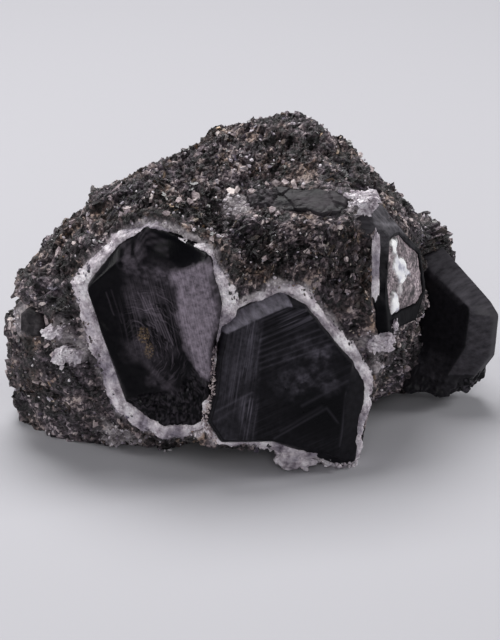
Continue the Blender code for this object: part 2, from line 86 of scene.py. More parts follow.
soft_light("light_above", (-0.10, 0.26, 0.62), 0.40, 4.7)
soft_light("light_left", (-0.60, -0.06, 0.32), 0.26, 1.6)
soft_light("light_right", (0.58, 0.06, 0.34), 0.26, 1.7)
soft_light("light_front", (0.02, -0.56, 0.31), 0.30, 0.85)
room = bpy.data.worlds.new("room")
room.use_nodes = True
room.node_tree.nodes["Background"].inputs["Color"].default_value = (0.86, 0.88, 0.92, 1)
room.node_tree.nodes["Background"].inputs["Strength"].default_value = 0.14
bpy.context.scene.world = room
bpy.context.scene.view_settings.view_transform = "Standard"

# %% [markdown]
# ## Finishes
# Every finish is one Principled shader with a few textures in front of it. One function turns the
# usual sRGB hex colours into the linear numbers that Blender counts with, and one adds a node with
# its settings and its links, so a material reads as a short list. Object coordinates are metres, so
# a pattern's scale is given as the number of its cells in a millimetre.

# %% Helpers for colours and nodes
PER_MM = 1000.0  # a scale of 2 * PER_MM puts two cells of a pattern in a millimetre


def linear(colour):
    """'#rrggbb' as linear red, green, blue and 1: c/12.92, or ((c + 0.055)/1.055)^2.4 above 0.04."""
    c = np.array([int(colour[k:k + 2], 16) for k in (1, 3, 5)]) / 255
    return (*np.where(c <= 0.04045, c / 12.92, ((c + 0.055) / 1.055) ** 2.4), 1.0)


def add(tree, kind, inputs=None, stops=(), **settings):
    """Adds a node, sets its properties, and sets or links its inputs by name or number. A colour
    ramp also gets its stops, each a place from 0 to 1 and a colour."""
    made = tree.nodes.new(kind)
    for key, value in settings.items():
        setattr(made, key, value)
    for key, value in (inputs or {}).items():
        if isinstance(value, bpy.types.NodeSocket):
            tree.links.new(value, made.inputs[key])
        else:
            made.inputs[key].default_value = value
    for _ in stops[2:]:  # a new ramp already has two
        made.color_ramp.elements.new(0.5)
    for number, (place, colour) in enumerate(stops):
        element = made.color_ramp.elements[number]
        element.position, element.color = place, linear(colour)
    return made


def finish(name, roughness, ior):
    """A new material with its tree and its Principled shader."""
    material = bpy.data.materials.new(name)
    material.use_nodes = True
    shader = material.node_tree.nodes["Principled BSDF"]
    shader.inputs["Roughness"].default_value = roughness
    shader.inputs["IOR"].default_value = ior
    return material, material.node_tree, shader


# %% [markdown]
# The floor is matt painted board. It is stage, not part of the specimen.

# %% Floor
board, tree, shader = finish("painted_board", 0.7, 1.45)
shader.inputs["Base Color"].default_value = linear("#b6b5ba")
floor = bpy.data.objects.new("floor", bpy.data.meshes.new("floor"))
floor.data.from_pydata([(-4, -4, 0), (4, -4, 0), (4, 4, 0), (-4, 4, 0)], [], [(0, 1, 2, 3)])
floor.data.materials.append(board)
bpy.context.scene.collection.objects.link(floor)

# %% [markdown]
# ## Chance, clouds and grains
# A rock is full of accidents, but the lesson has to give the same rock each time. So all chance comes
# from whole-number cells: a cell always gives the same number. Blended between cell corners it is a
# soft cloud; with one scattered centre in each cell it gives broken blocks and grains.

# %% Chance numbers and clouds
PRIMES, MIXER, WORD = (73856093, 19349663, 83492791, 40503001), 1274126177, 2**32


def dice(cells, seed):
    """A repeatable number from 0 to 1 for every whole-number cell: its three indices, each times a
    large prime, are mixed bit by bit."""
    n = np.asarray(cells).astype(np.int64)
    h = n[..., 0] * PRIMES[0] ^ n[..., 1] * PRIMES[1] ^ n[..., 2] * PRIMES[2] ^ seed * PRIMES[3]
    for turn in (13, 16, 11):
        h = h & (WORD - 1)
        h = ((h ^ (h >> turn)) * MIXER) & (WORD - 1)
    return h / WORD


def cloud(points, size, seed, octaves=1):
    """Soft noise from -1 to 1: the chance numbers of the eight corners of a cell, blended with the
    shares 3t^2 - 2t^3; each further octave has half the size and half the height."""
    total = np.zeros(len(points))
    for k in range(octaves):
        q = points / (size * 0.5**k)
        cell = np.floor(q)
        t = q - cell
        t = t * t * (3 - 2 * t)
        for corner in np.indices((2, 2, 2)).reshape(3, -1).T:
            share = np.prod(np.where(corner, t, 1 - t), axis=-1)
            total += 0.5**k * share * (2 * dice(cell + corner, seed + k) - 1)
    return total


# %% Blocks and grains
AROUND_CELL = np.indices((3, 3, 3)).reshape(3, -1).T - 1


def blocks(points, size, step, tilt, seed):
    """Broken blocks: each point takes the height and the slope of its nearest scattered centre."""
    q = points / size
    cell = np.floor(q)
    best, found = np.full(len(q), 9.0), np.zeros(len(q))
    for corner in AROUND_CELL:
        near = cell + corner
        away = q - near - np.stack([dice(near, seed + k) for k in range(3)], -1)
        slope = np.stack([dice(near, seed + 3 + k) for k in range(3)], -1) * 2 - 1
        height = step * (dice(near, seed + 6) * 2 - 1) + tilt * size * (away * slope).sum(-1)
        far = (away**2).sum(-1)
        found = np.where(far < best, height, found)
        best = np.minimum(far, best)
    return found


def grains(points, size, seed):
    """For each point: how near it is to the seam between its two nearest centres (0 on the seam), and
    the chance number of the nearest one."""
    q = points / size
    cell = np.floor(q)
    first, second, name = np.full(len(q), 9.0), np.full(len(q), 9.0), np.zeros(len(q))
    for corner in AROUND_CELL:
        near = cell + corner
        away = q - near - np.stack([dice(near, seed + k) for k in range(3)], -1)
        far = np.sqrt((away**2).sum(-1))
        second = np.minimum(second, np.maximum(first, far))
        name = np.where(far < first, dice(near, seed + 7), name)
        first = np.minimum(first, far)
    return second - first, name


# %% [markdown]
# ## The faces of the crystals
# A crystal face is a plane: an anchor point, a turn to the left and a lean back. The outlines are drawn
# in that plane in millimetres, x to the right, y up the face and depth behind it, as they are in the
# solids. FACE is the flat front, OUTLINE the foot of its bevel, HOLLOW the floor of the worn dish, and
# DEPTH says how far the crystal reaches back. RIM is the width of the white rock round it, corner by
# corner. The rock needs them first, because it has to sink away behind each crystal.


# %% Planes
SHIFT = np.array([-1.1, -1.6, 0.0])  # brings the middle of the specimen over the origin


def plane(seat):
    """Anchor, right, up and outward directions of a face. A seat is the anchor, the turn to the left
    and the lean back, in degrees."""
    turn, lean = np.radians(seat[1]), np.radians(seat[2])
    out = np.array([-np.sin(turn) * np.cos(lean), -np.cos(turn) * np.cos(lean), np.sin(lean)])
    right = np.array([np.cos(turn), -np.sin(turn), 0.0])
    return np.array(seat[0]), right, np.cross(right, -out), out


def placed(seat, corners):
    """x, y, depth in the plane of a face, as points: anchor + x right + y up - depth out."""
    anchor, right, up, out = plane(seat)
    c = np.asarray(corners, float)
    return anchor + c[..., :1] * right + c[..., 1:2] * up - c[..., 2:3] * out


def in_plane(seat, points):
    """The other way round: x, y and depth of points."""
    anchor, right, up, out = plane(seat)
    away = points - anchor
    return np.stack([away @ right, away @ up, -(away @ out)], -1)


# %% Outlines
def miters(outline):
    """For each corner of a clockwise outline, the way out that moves both its sides by one."""
    p = np.asarray(outline, float)[:, :2]
    side = np.roll(p, -1, 0) - p
    side /= np.linalg.norm(side, axis=1, keepdims=True)
    normal = np.stack([-side[:, 1], side[:, 0]], -1)
    before = np.roll(normal, 1, 0)
    return (normal + before) / np.maximum(1 + (normal * before).sum(1), 0.6)[:, None]


def grown(outline, by):
    """The outline with its sides moved out, at the same depths."""
    p = np.array(outline, float)
    p[:, :2] += miters(outline) * by
    return p


def flat(outline, depth):
    """The outline with one depth all round."""
    p = np.asarray(outline, float)[:, :2]
    return np.concatenate([p, np.full((len(p), 1), float(depth))], 1)


def outside(points, outline):
    """How far 2-D points are outside the outline; less than zero within it."""
    p = np.asarray(outline, float)[:, :2]
    least, inside = np.full(len(points), 1e9), np.zeros(len(points), bool)
    for a, b in zip(p, np.roll(p, -1, 0)):
        side = b - a
        along = np.clip((points - a) @ side / (side @ side), 0, 1)
        least = np.minimum(least, np.linalg.norm(points - a - along[:, None] * side, axis=1))
        crosses = (a[1] > points[:, 1]) != (b[1] > points[:, 1])
        rise = side[1] if side[1] else 1e-9
        inside ^= crosses & (points[:, 0] < a[0] + (points[:, 1] - a[1]) * side[0] / rise)
    return np.where(inside, -least, least)


# %% Measures of the crystals, the same as in the solids
LEFT_SEAT, LEFT_DEPTH = ((-7.0, -26.0, 30.5), 15.0, 8.0), 10.5
LEFT_OUTLINE = [
    (-20.6, 17.0, 2.2), (-15.4, 21.0, 3.4), (-11.6, 20.4, 3.4), (-2.2, 16.6, 3.0), (1.0, 6.9, 2.4),
    (0.1, -0.7, 2.0), (-0.3, -9.1, 2.0), (-0.9, -16.5, 2.6), (-3.8, -19.6, 3.0), (-10.3, -21.0, 3.2),
    (-14.7, -19.0, 3.0), (-18.2, -16.3, 2.4), (-22.5, -4.4, 2.0), (-26.8, 7.4, 2.0), (-26.0, 9.0, 2.0),
]
LEFT_FACE = [
    (-19.8, 13.4, 0.0), (-14.2, 14.3, 0.0), (-9.8, 13.3, 0.0), (-2.7, 14.9, 0.0), (0.5, 6.6, 0.0),
    (-0.4, -0.8, 0.0), (-0.8, -8.4, 0.0), (-2.2, -12.6, 1.3), (-5.4, -15.2, 0.7), (-10.2, -16.8, 1.5),
    (-13.9, -15.4, 0.8), (-17.4, -13.6, 0.5), (-21.7, -4.0, 0.0), (-26.0, 7.2, 0.0), (-25.2, 8.6, 0.0),
]
LEFT_HOLLOW = [
    (-18.0, 10.8, 0.65), (-14.0, 11.6, 0.93), (-10.6, 10.8, 1.17), (-8.4, 9.6, 1.32),
    (-7.6, 4.7, 1.38), (-6.6, 0.2, 1.45), (-5.4, -4.6, 1.53), (-6.8, -8.2, 1.43), (-8.2, -10.6, 1.34),
    (-10.6, -11.8, 1.17), (-13.4, -11.6, 0.97), (-16.2, -10.8, 0.78), (-20.4, -3.4, 0.48),
    (-24.4, 6.0, 0.2), (-23.4, 7.8, 0.27),
]
LEFT_RIM = (1.4, 0.8, 0.7, 1.0, 1.4, 0.9, 0.7, 1.2, 1.6, 1.6, 2.2, 2.8, 3.5, 3.4, 2.8)

CENTRE_SEAT, CENTRE_DEPTH = ((-6.0, -27.5, 27.5), -18.0, 7.0), 11.0
CENTRE_FACE = [
    (2.0, 4.6), (8.4, 6.7), (14.6, 8.5), (18.1, 7.4), (27.3, -5.4), (26.6, -9.0), (25.6, -12.4),
    (25.0, -19.4), (23.8, -24.6), (19.2, -21.8), (10.1, -18.8), (0.3, -17.4), (-2.2, -13.0),
    (-0.5, -7.7), (0.6, -0.3),
]
CENTRE_OUTLINE = [
    (1.5, 6.2, 4.4), (8.1, 8.5, 4.6), (14.4, 10.4, 4.6), (19.0, 8.5, 3.6), (28.6, -5.0, 2.2),
    (31.4, -10.8, 1.8), (30.8, -13.8, 2.0), (29.7, -18.8, 2.0), (28.4, -26.4, 1.8), (25.6, -27.3, 1.4),
    (11.0, -19.8, 2.0), (0.0, -18.1, 1.2), (-2.6, -13.2, 0.8), (-0.8, -7.7, 0.8), (0.3, -0.2, 1.2),
]
CENTRE_RIM = (1.3, 1.2, 1.8, 1.9, 1.8, 1.2, 1.0, 0.9, 0.6, 0.6, 1.6, 1.2, 1.0, 0.7, 0.7)

RIGHT_SEAT, RIGHT_DEPTH = ((45.1, 6.0, 23.3), 30.0, 13.0), 9.0
RIGHT_FACE = [
    (-19.5, 3.8), (-12.4, 7.4), (0.0, 0.0), (0.3, -1.6), (0.3, -8.6), (-5.0, -19.8), (-11.9, -20.6),
    (-19.5, -15.0),
]
RIGHT_BACK = [
    (-19.0, 6.0), (-11.8, 9.6), (0.9, 0.3), (3.1, -2.1), (3.4, -10.6), (-1.5, -19.0), (-12.0, -19.6),
    (-19.0, -15.0),
]
RIGHT_BASE_MIDDLE, RIGHT_BASE_HALF = (43.6, 11.6, 7.6), (5.6, 5.0, 6.0)

EDGE_SEAT, EDGE_DEPTH, EDGE_WINDOW_DEPTH = ((31.0, -6.0, 34.5), -62.0, 8.0), 11.0, 2.4
EDGE_FACE = [
    (-4.7, 11.0), (-2.4, 11.4), (-0.1, 10.9), (8.2, 3.5), (8.6, -5.4), (3.0, -9.6), (-3.9, -8.2),
    (-8.4, -8.6), (-9.8, -7.0), (-9.6, -0.6),
]
EDGE_WINDOW = [
    (-4.8, 9.9), (-2.4, 10.1), (-0.4, 9.6), (7.2, 2.8), (7.3, -5.3), (4.2, -6.4), (-2.6, -5.2),
    (-7.2, -4.6), (-7.8, -2.2), (-7.4, 3.0),
]
EDGE_OUTLINE = [
    (-5.6, 14.6, 3.6), (-2.0, 16.4, 4.4), (3.4, 14.6, 5.0), (9.8, 5.2, 4.0), (10.2, -6.0, 4.0),
    (3.8, -11.0, 3.4), (-4.0, -9.6, 2.4), (-9.2, -9.8, 1.8), (-10.8, -7.4, 1.6), (-10.5, 0.0, 1.6),
]

UPPER_SEAT, UPPER_DEPTH = ((9.0, -8.0, 53.0), 5.0, 62.0), 4.5
UPPER_FACE = [
    (-9.8, 0.4), (-7.2, 2.2), (-3.2, 2.9), (1.2, 2.4), (3.8, 3.0), (8.2, 2.2), (10.6, 0.2),
    (9.4, -3.4), (5.2, -4.2), (2.0, -3.0), (-2.8, -3.3), (-6.4, -2.2), (-9.2, -2.6),
]
SMALL_SEAT, SMALL_DEPTH = ((-44.0, -10.2, 26.8), 34.0, 10.0), 5.0
SMALL_FACE = [(-3.0, 1.4), (-1.2, 2.9), (1.7, 2.7), (3.1, 0.9), (2.7, -1.8), (0.4, -2.8), (-2.6, -2.2)]

# %% [markdown]
# ## The rock
# The rock is one surface: for every direction from its middle it says how far out the surface lies.
# The solids use the same function on a coarse grid; here a fine grid takes it further, so the rock
# keeps its lumps and its broken faces. A smooth form through the listed points comes first, then the
# large broken faces, the level seats behind the crystals, and the blocks.

# %% Points and breaks of the rock, the same as in the solids
ROCK_CENTRE = np.array([-2.0, 2.0, 26.0])
SETTLE_HOLD, SETTLE_REACH = 1.8, 5.0  # level this far round a crystal, then rough again over so much
VIEW_LIMIT = 35.0  # in front of the right crystal and right above it the rock ends at this x
VIEW_DEPTH, VIEW_HEIGHT = 0.407, 0.914  # how much of y and of z is seen as rise in the photo
ROCK_POINTS = [
    (7, 12, 61.2), (2.5, 11, 61.4), (-5, 9, 60.4), (-13, 8, 57.6), (-21, 8, 53), (-29, 6, 49.8),
    (-37, 4, 43.7), (-42, 2, 37.2), (-44.8, 1, 32.5), (-49.2, -1, 23.5), (-48.6, -2, 14),
    (-47.6, -2.5, 6.5), (14, 12.5, 59), (18, 13, 56.6), (25, 15, 51), (28, 17, 48.2), (30.5, 18, 46.4),
    (34, 21, 43), (37.5, 23, 38.6), (40, 24, 34.5), (41.5, 25, 28),
    (-19.5, -13.5, 51.5), (-20, -4, 53.5), (-27.5, -9, 49.5), (-32.5, -10, 45.5), (-10, -6, 54.5),
    (-10, -13.5, 50), (-4, -15, 48), (-2, -18, 41.5), (-37.5, -9, 40), (-42, -9, 31.5),
    (-46, -7, 22), (-40, -14, 24), (-40, -13, 13.5), (-31, -19, 14), (-38.5, -10, 4.5),
    (-28, -14.5, 3), (10, -16.5, 38), (10, -15, 45), (10, -12.5, 50.5), (2, -14, 48.5),
    (18.5, -12.5, 47), (19, -15, 39.5), (2, -17.5, 41.5), (9, -4.5, 56), (-2, -4, 56),
    (18, -4, 55), (9, 3, 59), (18, 3, 56.5), (-2, 3, 59), (22, -6, 50.5), (23.8, -14.6, 34),
    (25, -14, 24), (27.5, -5, 11), (31, 5, 4.5),
    (34, 4, 27), (34.5, 6.5, 20), (33.5, 6.5, 10), (40.5, 25, 18), (38, 24, 6), (0, 22, 57), (-20, 20, 48),
    (20, 25, 47), (-35, 18, 37), (-43, 14, 26), (-42, 14, 12), (-28, 28, 32), (-8, 30, 40),
    (12, 31, 36), (30, 31, 28), (-20, 30, 18), (4, 30.5, 22), (24, 30, 12), (-8, 29, 8), (33, 28, 5),
    (-46, -3, 0), (-42, -6, 0), (-30, -11.5, 0), (-21, -13.5, 0), (-12, -10.5, 0), (-2, -8.5, 0),
    (10, -8.5, 0), (15.5, -6, 0), (18.5, 0, 0), (22.5, 8, 0), (28, 13, 0), (20, -4.5, 4), (32, 20, 0),
    (24, 26, 0), (4, 27, 0), (-20, 26, 0), (-36, 17, 0), (-45, 6, 0), (-8, 4, -7), (-30, 2, -6),
    (10, 10, -6),
]
ROCK_BREAKS = [
    ((0, 18.5, 56.5), (-0.1, 0.7, 0.71)), ((-8, 27, 30), (-0.08, 0.98, 0.16)),
    ((-34, 17, 25), (-0.72, 0.66, 0.2)), ((36, 29, 20), (0.5, 0.86, -0.05)),
    ((16, 29, 42), (0.3, 0.8, 0.52)), ((-22, 16, 48), (-0.5, 0.42, 0.76)),
    ((34, 18, 40.2), (0.627, 0.317, 0.711)),
]
ROCK_LUMPS = ((13.0, 1.1, 0.16, 3), (6.5, 0.55, 0.2, 8))
SEATS = (
    (LEFT_SEAT, LEFT_OUTLINE, 4.0, SETTLE_REACH), (CENTRE_SEAT, CENTRE_OUTLINE, 5.0, SETTLE_REACH),
    (EDGE_SEAT, EDGE_FACE, 1.8, 2.0), (UPPER_SEAT, UPPER_FACE, 0.3, 2.5),
    (SMALL_SEAT, SMALL_FACE, 1.6, 2.0),
)


# %% The rock surface
def rock_fit():
    """Weights of the smooth form: radius = sum of w * sqrt(d^2 + 0.01) + a level, where d is the way
    from a direction to each known direction, solved so that it passes through every point."""
    points = np.array(ROCK_POINTS, float) - ROCK_CENTRE
    radius = np.linalg.norm(points, axis=1)
    ways = points / radius[:, None]
    count = len(ways)
    system = np.ones((count + 1, count + 1))
    system[:count, :count] = np.sqrt(((ways[:, None] - ways[None]) ** 2).sum(-1) + 0.01)
    system[count, count] = 0.0
    return ways, np.linalg.solve(system, np.append(radius, 0.0))


def open_view(ways, radius):
    """Takes the rock back, a quarter of a millimetre at a time, where it would stand in front of the
    right crystal and hide it, or hang over its upper edge."""
    anchor, right, up, out = plane(RIGHT_SEAT)
    for _ in range(60):
        at = ROCK_CENTRE + ways * radius[:, None]
        x, y, ahead = (at - anchor) @ right, (at - anchor) @ up, (at - anchor) @ out
        before = (ahead > -5) & (x < 1.5) & (np.abs(y + 3) < 16)
        rise = VIEW_DEPTH * at[:, 1] + VIEW_HEIGHT * (at[:, 2] - ROCK_CENTRE[2])
        above = (ahead > -12) & (rise > 3) & (rise < 12.6)
        radius = radius - 0.25 * ((at[:, 0] > VIEW_LIMIT) & (ahead < 16) & (before | above))
    return radius


def rock_surface(ways):
    """Points of the rock in the given directions, and how rough it is there (little behind a crystal)."""
    known, weights = rock_fit()
    near = 2 - 2 * ways @ known.T
    radius = np.sqrt(np.maximum(near, 0) + 0.01) @ weights[:-1] + weights[-1]
    for point, out in ROCK_BREAKS:
        facing = ways @ np.array(out)
        broken = (np.array(point) - ROCK_CENTRE) @ np.array(out) / np.maximum(facing, 0.05)
        radius = np.where(facing > 0.05, np.minimum(radius, broken), radius)
    rough, limits = np.ones(len(ways)), []
    for seat, outline, depth, margin in SEATS:
        anchor, right, up, out = plane(seat)
        facing = np.maximum(ways @ out, 0.2)
        level = (anchor - out * depth - ROCK_CENTRE) @ out / facing
        at = ROCK_CENTRE + ways * level[:, None] - anchor
        away = outside(np.stack([at @ right, at @ up], -1), outline)
        away[ways @ out < 0.2] = 1e9
        share = np.clip(1 - (away - SETTLE_HOLD) / margin, 0, 1)
        share = share * share * (3 - 2 * share)
        radius = radius * (1 - share) + level * share
        rough *= 1 - 0.85 * share
        limits.append(np.where(away < 0.5, level, 1e9))
    radius = open_view(ways, np.minimum(radius, np.min(limits, axis=0)))
    base = ROCK_CENTRE + ways * radius[:, None]
    for size, step, tilt, seed in ROCK_LUMPS:
        radius = radius + rough * blocks(base, size, step, tilt, seed)
    return ROCK_CENTRE + ways * radius[:, None], rough


# %% Grids and outward directions
def triangles(squares):
    """Each square as two triangles."""
    return np.concatenate([squares[:, [0, 1, 2]], squares[:, [0, 2, 3]]])


def round_grid(steps):
    """Directions and squares of a six-sided grid blown up to a ball, with shared corners made one."""
    line = np.tan(np.linspace(-np.pi / 4, np.pi / 4, steps + 1))
    a, b = np.meshgrid(line, line, indexing="ij")
    one = np.ones_like(a)
    sides = [(one, a, b), (-one, b, a), (b, one, a), (a, -one, b), (a, b, one), (b, a, -one)]
    ways = np.concatenate([np.stack(side, -1).reshape(-1, 3) for side in sides])
    ways /= np.linalg.norm(ways, axis=1, keepdims=True)
    _, first, index = np.unique(np.round(ways, 6), axis=0, return_index=True, return_inverse=True)
    grid = np.arange(6 * (steps + 1) ** 2).reshape(6, steps + 1, steps + 1)
    squares = np.stack([grid[:, :-1, :-1], grid[:, 1:, :-1], grid[:, 1:, 1:], grid[:, :-1, 1:]], -1)
    return ways[first], triangles(index.reshape(-1)[squares.reshape(-1, 4)])


def normals(points, faces):
    """Outward direction at each point: the sum of the areas of the triangles round it."""
    corner = points[faces]
    area = np.cross(corner[:, 1] - corner[:, 0], corner[:, 2] - corner[:, 0])
    total = np.zeros_like(points)
    for k in range(3):
        for axis in range(3):
            total[:, axis] += np.bincount(faces[:, k], area[:, axis], len(points))
    return total / np.maximum(np.linalg.norm(total, axis=1, keepdims=True), 1e-12)


# %% Many shapes in one mesh
def repeated(faces, corners, count):
    """The faces of a shape with so many corners, numbered on for each of its copies."""
    return (np.arange(count)[:, None, None] * corners + faces[None]).reshape(-1, 3)


def joined(*meshes):
    """Several meshes as one: their corners one after another, their faces numbered on."""
    starts = np.cumsum([0] + [len(points) for points, _ in meshes])
    return (np.concatenate([points for points, _ in meshes]),
            np.concatenate([faces + start for (_, faces), start in zip(meshes, starts)]))


# %% A piece from arrays
PIECES = {}


def add_piece(name, points, faces, material, slot, smooth=True, marks=None, face_map=None):
    """A mesh object from points in millimetres and triangles, riding on the specimen. Marks are
    numbers for each point that the material reads, and the face map is x and y on a crystal face in
    centimetres."""
    mesh = bpy.data.meshes.new(name)
    mesh.vertices.add(len(points))
    mesh.vertices.foreach_set("co", ((points + SHIFT) * MM).astype(np.float32).ravel())
    mesh.loops.add(faces.size)
    mesh.loops.foreach_set("vertex_index", faces.astype(np.int32).ravel())
    mesh.polygons.add(len(faces))
    mesh.polygons.foreach_set("loop_start", np.arange(0, faces.size, 3, dtype=np.int32))
    mesh.polygons.foreach_set("use_smooth", np.full(len(faces), smooth))
    for key, values in (marks or {}).items():
        mesh.attributes.new(key, "FLOAT", "POINT").data.foreach_set("value", values.astype(np.float32))
    if face_map is not None:
        layer = mesh.uv_layers.new(name="face_cm")
        layer.data.foreach_set("uv", face_map[faces].astype(np.float32).ravel())
    mesh.update(calc_edges=True)
    mesh.validate()
    mesh.materials.append(material)
    obj = bpy.data.objects.new(name, mesh)
    bpy.context.scene.collection.objects.link(obj)
    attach(obj, "root")
    PIECES[name] = obj
    print(f"{name}: {len(faces)} triangles")
    return obj


# %% [markdown]
# ### Ground between the flakes
# Most of what is seen of the rock is a dark, fused mass of mica and feldspar grains, one to two
# millimetres across. It is the rock surface broken into two sizes of blocks, each with its own height,
# slope and tone, with a crevice along every seam. The directions of the grid are shifted to crowd on
# the side with the crystals, where one looks closest.

# %% Ground mesh
GROUND_STEPS = 128
CROWDING, TO_CAMERA = 0.36, np.array([0.0, -0.9, 0.43])
COARSE_GRAIN, FINE_GRAIN = 1.7, 0.9  # millimetres
ways, ground_faces = round_grid(GROUND_STEPS)
ways = ways + CROWDING * TO_CAMERA
ways /= np.linalg.norm(ways, axis=1, keepdims=True)
smooth_rock, rough = rock_surface(ways)
rock_out = normals(smooth_rock, ground_faces)


def in_wall(points):
    """1 in the wall between the crystals, where the grains stand upright, falling to 0 round it."""
    high = np.exp(-(((points[:, 0] - 12) / 16) ** 2) - ((points[:, 2] - 40) / 13) ** 2)
    return high * (points[:, 1] < 0)


squat = smooth_rock * np.stack([np.ones(len(rough))] * 2 + [1 - 0.55 * in_wall(smooth_rock)], -1)
seam, tone = grains(smooth_rock, COARSE_GRAIN, 40)
fine_seam, fine_tone = grains(squat, FINE_GRAIN, 50)  # squat heights make tall grains in the wall
push = -0.15 - 0.40 * np.exp(-seam / 0.12) - 0.22 * np.exp(-fine_seam / 0.15)
push += blocks(smooth_rock, COARSE_GRAIN, 0.28, 0.45, 40) + blocks(squat, FINE_GRAIN, 0.16, 0.6, 50)
push += 0.35 * cloud(smooth_rock, 4.5, 70, 2)
ground = smooth_rock + rock_out * (push * (0.35 + 0.65 * rough))[:, None]
ground[:, 2] = np.maximum(ground[:, 2], 0.0)
tone = np.clip(0.4 * tone + 0.6 * fine_tone + 0.45 * cloud(smooth_rock, 4.0, 72, 3), 0, 1)
sides = np.linalg.norm(ground[ground_faces[:, 0]] - ground[ground_faces[:, 1]], axis=1)
print("half the sides of the ground's triangles are under", round(float(np.median(sides)), 2), "mm")

# %% [markdown]
# ### Where the feldspar is
# White feldspar gathers in a ragged halo round the large crystals, in a few patches, and as single
# grains anywhere. One number says how much of the rock is feldspar at a point, from 0 to 1.

# %% Share of feldspar
WHITE_SPOTS = [  # place and reach of the patches outside the rims
    ((-37.4, -15.0, 27.2), 2.4), ((-33.6, -16.4, 23.6), 2.2), ((23.6, -13.5, 25.2), 2.2),
    ((20.8, -7.4, 50.8), 3.4), ((-3.0, -9.0, 52.0), 2.4), ((27.0, -12.0, 20.0), 2.4),
    ((-48.0, -7.0, 26.5), 3.0), ((38.0, 18.0, 40.0), 2.0), ((-26.0, -15.0, 4.0), 4.5),
]


def grown_by(outline, widths):
    """The outline with each corner moved out by its own width."""
    p = np.array(outline, float)[:, :2]
    return p + miters(outline) * np.array(widths)[:, None]


def halo(points, seat, outline, widths):
    """How far points lie outside the white band of a crystal, less than zero within it."""
    p = in_plane(seat, points)
    away = outside(p[:, :2], grown_by(outline, widths))
    away[(p[:, 2] < -6) | (p[:, 2] > 13)] = 1e3
    return away


def feldspar_share(points):
    """1 in the bands, falling over a ragged millimetre; less in the patches; a little anywhere."""
    ragged = 0.7 * cloud(points, 2.2, 80, 3)
    share = 0.03 + 0.12 * np.clip(cloud(points, 7.0, 84, 2) - 0.1, 0, 1)
    for seat, outline, widths in (
        (LEFT_SEAT, LEFT_OUTLINE, LEFT_RIM), (CENTRE_SEAT, CENTRE_OUTLINE, CENTRE_RIM),
    ):
        away = halo(points, seat, outline, widths) + ragged
        share = np.maximum(share, np.clip(0.7 - away / 1.2, 0, 1))
    for middle, reach in WHITE_SPOTS:
        far = np.linalg.norm(points - middle, axis=1) + 1.5 * ragged
        share = np.maximum(share, 0.85 * np.clip(1.6 - far / reach, 0, 1))
    return share


white = feldspar_share(smooth_rock)
print("share of feldspar in the rock:", round(float(white.mean()), 3))

# %% [markdown]
# Finish of the ground: **fine mica and feldspar, broken surface**. It is dull and dark brown to
# grey, lighter where feldspar takes over. The grains have their own tones; flecks of 0.7 mm and
# specks of 0.4 mm break these up, and broad areas are a little browner or bluer.

# %% Ground material
ground_rock, tree, shader = finish("fine_mica_rock_broken", 0.5, 1.55)
tone_in = add(tree, "ShaderNodeAttribute", attribute_name="tone").outputs["Fac"]
white_in = add(tree, "ShaderNodeAttribute", attribute_name="white").outputs["Fac"]
place = add(tree, "ShaderNodeTexCoord").outputs["Object"]
speck = add(tree, "ShaderNodeTexNoise", {"Vector": place, "Scale": 2.3 * PER_MM, "Detail": 3.0,
                                         "Roughness": 0.7}).outputs["Fac"]
fleck = add(tree, "ShaderNodeTexVoronoi", {"Vector": place, "Scale": 1.4 * PER_MM})
own = add(tree, "ShaderNodeMix", {0: 0.5, 2: tone_in, 3: fleck.outputs["Color"]}).outputs[0]
shaken = add(tree, "ShaderNodeMix", {0: 0.3, 2: own, 3: speck}).outputs[0]
dark = add(tree, "ShaderNodeValToRGB", {0: shaken}, stops=[
    (0.33, "#0b090b"), (0.42, "#242023"), (0.50, "#3f383d"), (0.58, "#5b5359"), (0.65, "#887d81"),
    (0.72, "#ccc2c0")]).outputs["Color"]
area = add(tree, "ShaderNodeTexNoise", {"Vector": place, "Scale": 0.12 * PER_MM, "Detail": 3.0})
tint = add(tree, "ShaderNodeValToRGB", {0: area.outputs["Fac"]}, stops=[
    (0.36, "#e2cdb8"), (0.48, "#efe7e4"), (0.62, "#f3eef6")]).outputs["Color"]
dark = add(tree, "ShaderNodeVectorMath", {0: dark, 1: tint}, operation="MULTIPLY").outputs[0]
pale = add(tree, "ShaderNodeValToRGB", {0: shaken}, stops=[
    (0.3, "#7d757a"), (0.5, "#b8b0b4"), (0.7, "#dcd5d7")]).outputs["Color"]
mixed = add(tree, "ShaderNodeMix", {0: white_in, 6: dark, 7: pale}, data_type="RGBA")
tree.links.new(mixed.outputs[2], shader.inputs["Base Color"])
rise = add(tree, "ShaderNodeMath", {0: fleck.outputs["Distance"], 1: speck}, operation="SUBTRACT")
bump = add(tree, "ShaderNodeBump", {"Height": rise.outputs[0], "Strength": 0.9, "Distance": 0.4 * MM},
           invert=True)
tree.links.new(bump.outputs[0], shader.inputs["Normal"])
ground_piece = add_piece("rock_ground", ground, ground_faces, ground_rock, "mica_rock", smooth=False,
                         marks={"tone": tone, "white": np.clip(white * 1.3 - 0.2, 0, 1)})
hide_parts("matrix")

# %% [markdown]
# ### Flakes of mica
# Phlogopite mica splits into thin plates, and the broken rock shows them at every angle: some lie
# flat and mirror the light, some stand on edge. A particle system could spread them, but arrays are
# quicker and leave plain meshes. Each plate has five ragged corners, a front and a slightly smaller
# back. Most are 0.3 to 0.8 mm wide, one in six is up to 1.6 mm, and they are up to twice as long. In
# the wall between the crystals they stand upright and are narrower and longer still.

# %% Scattering and plates
chance = np.random.default_rng(11)


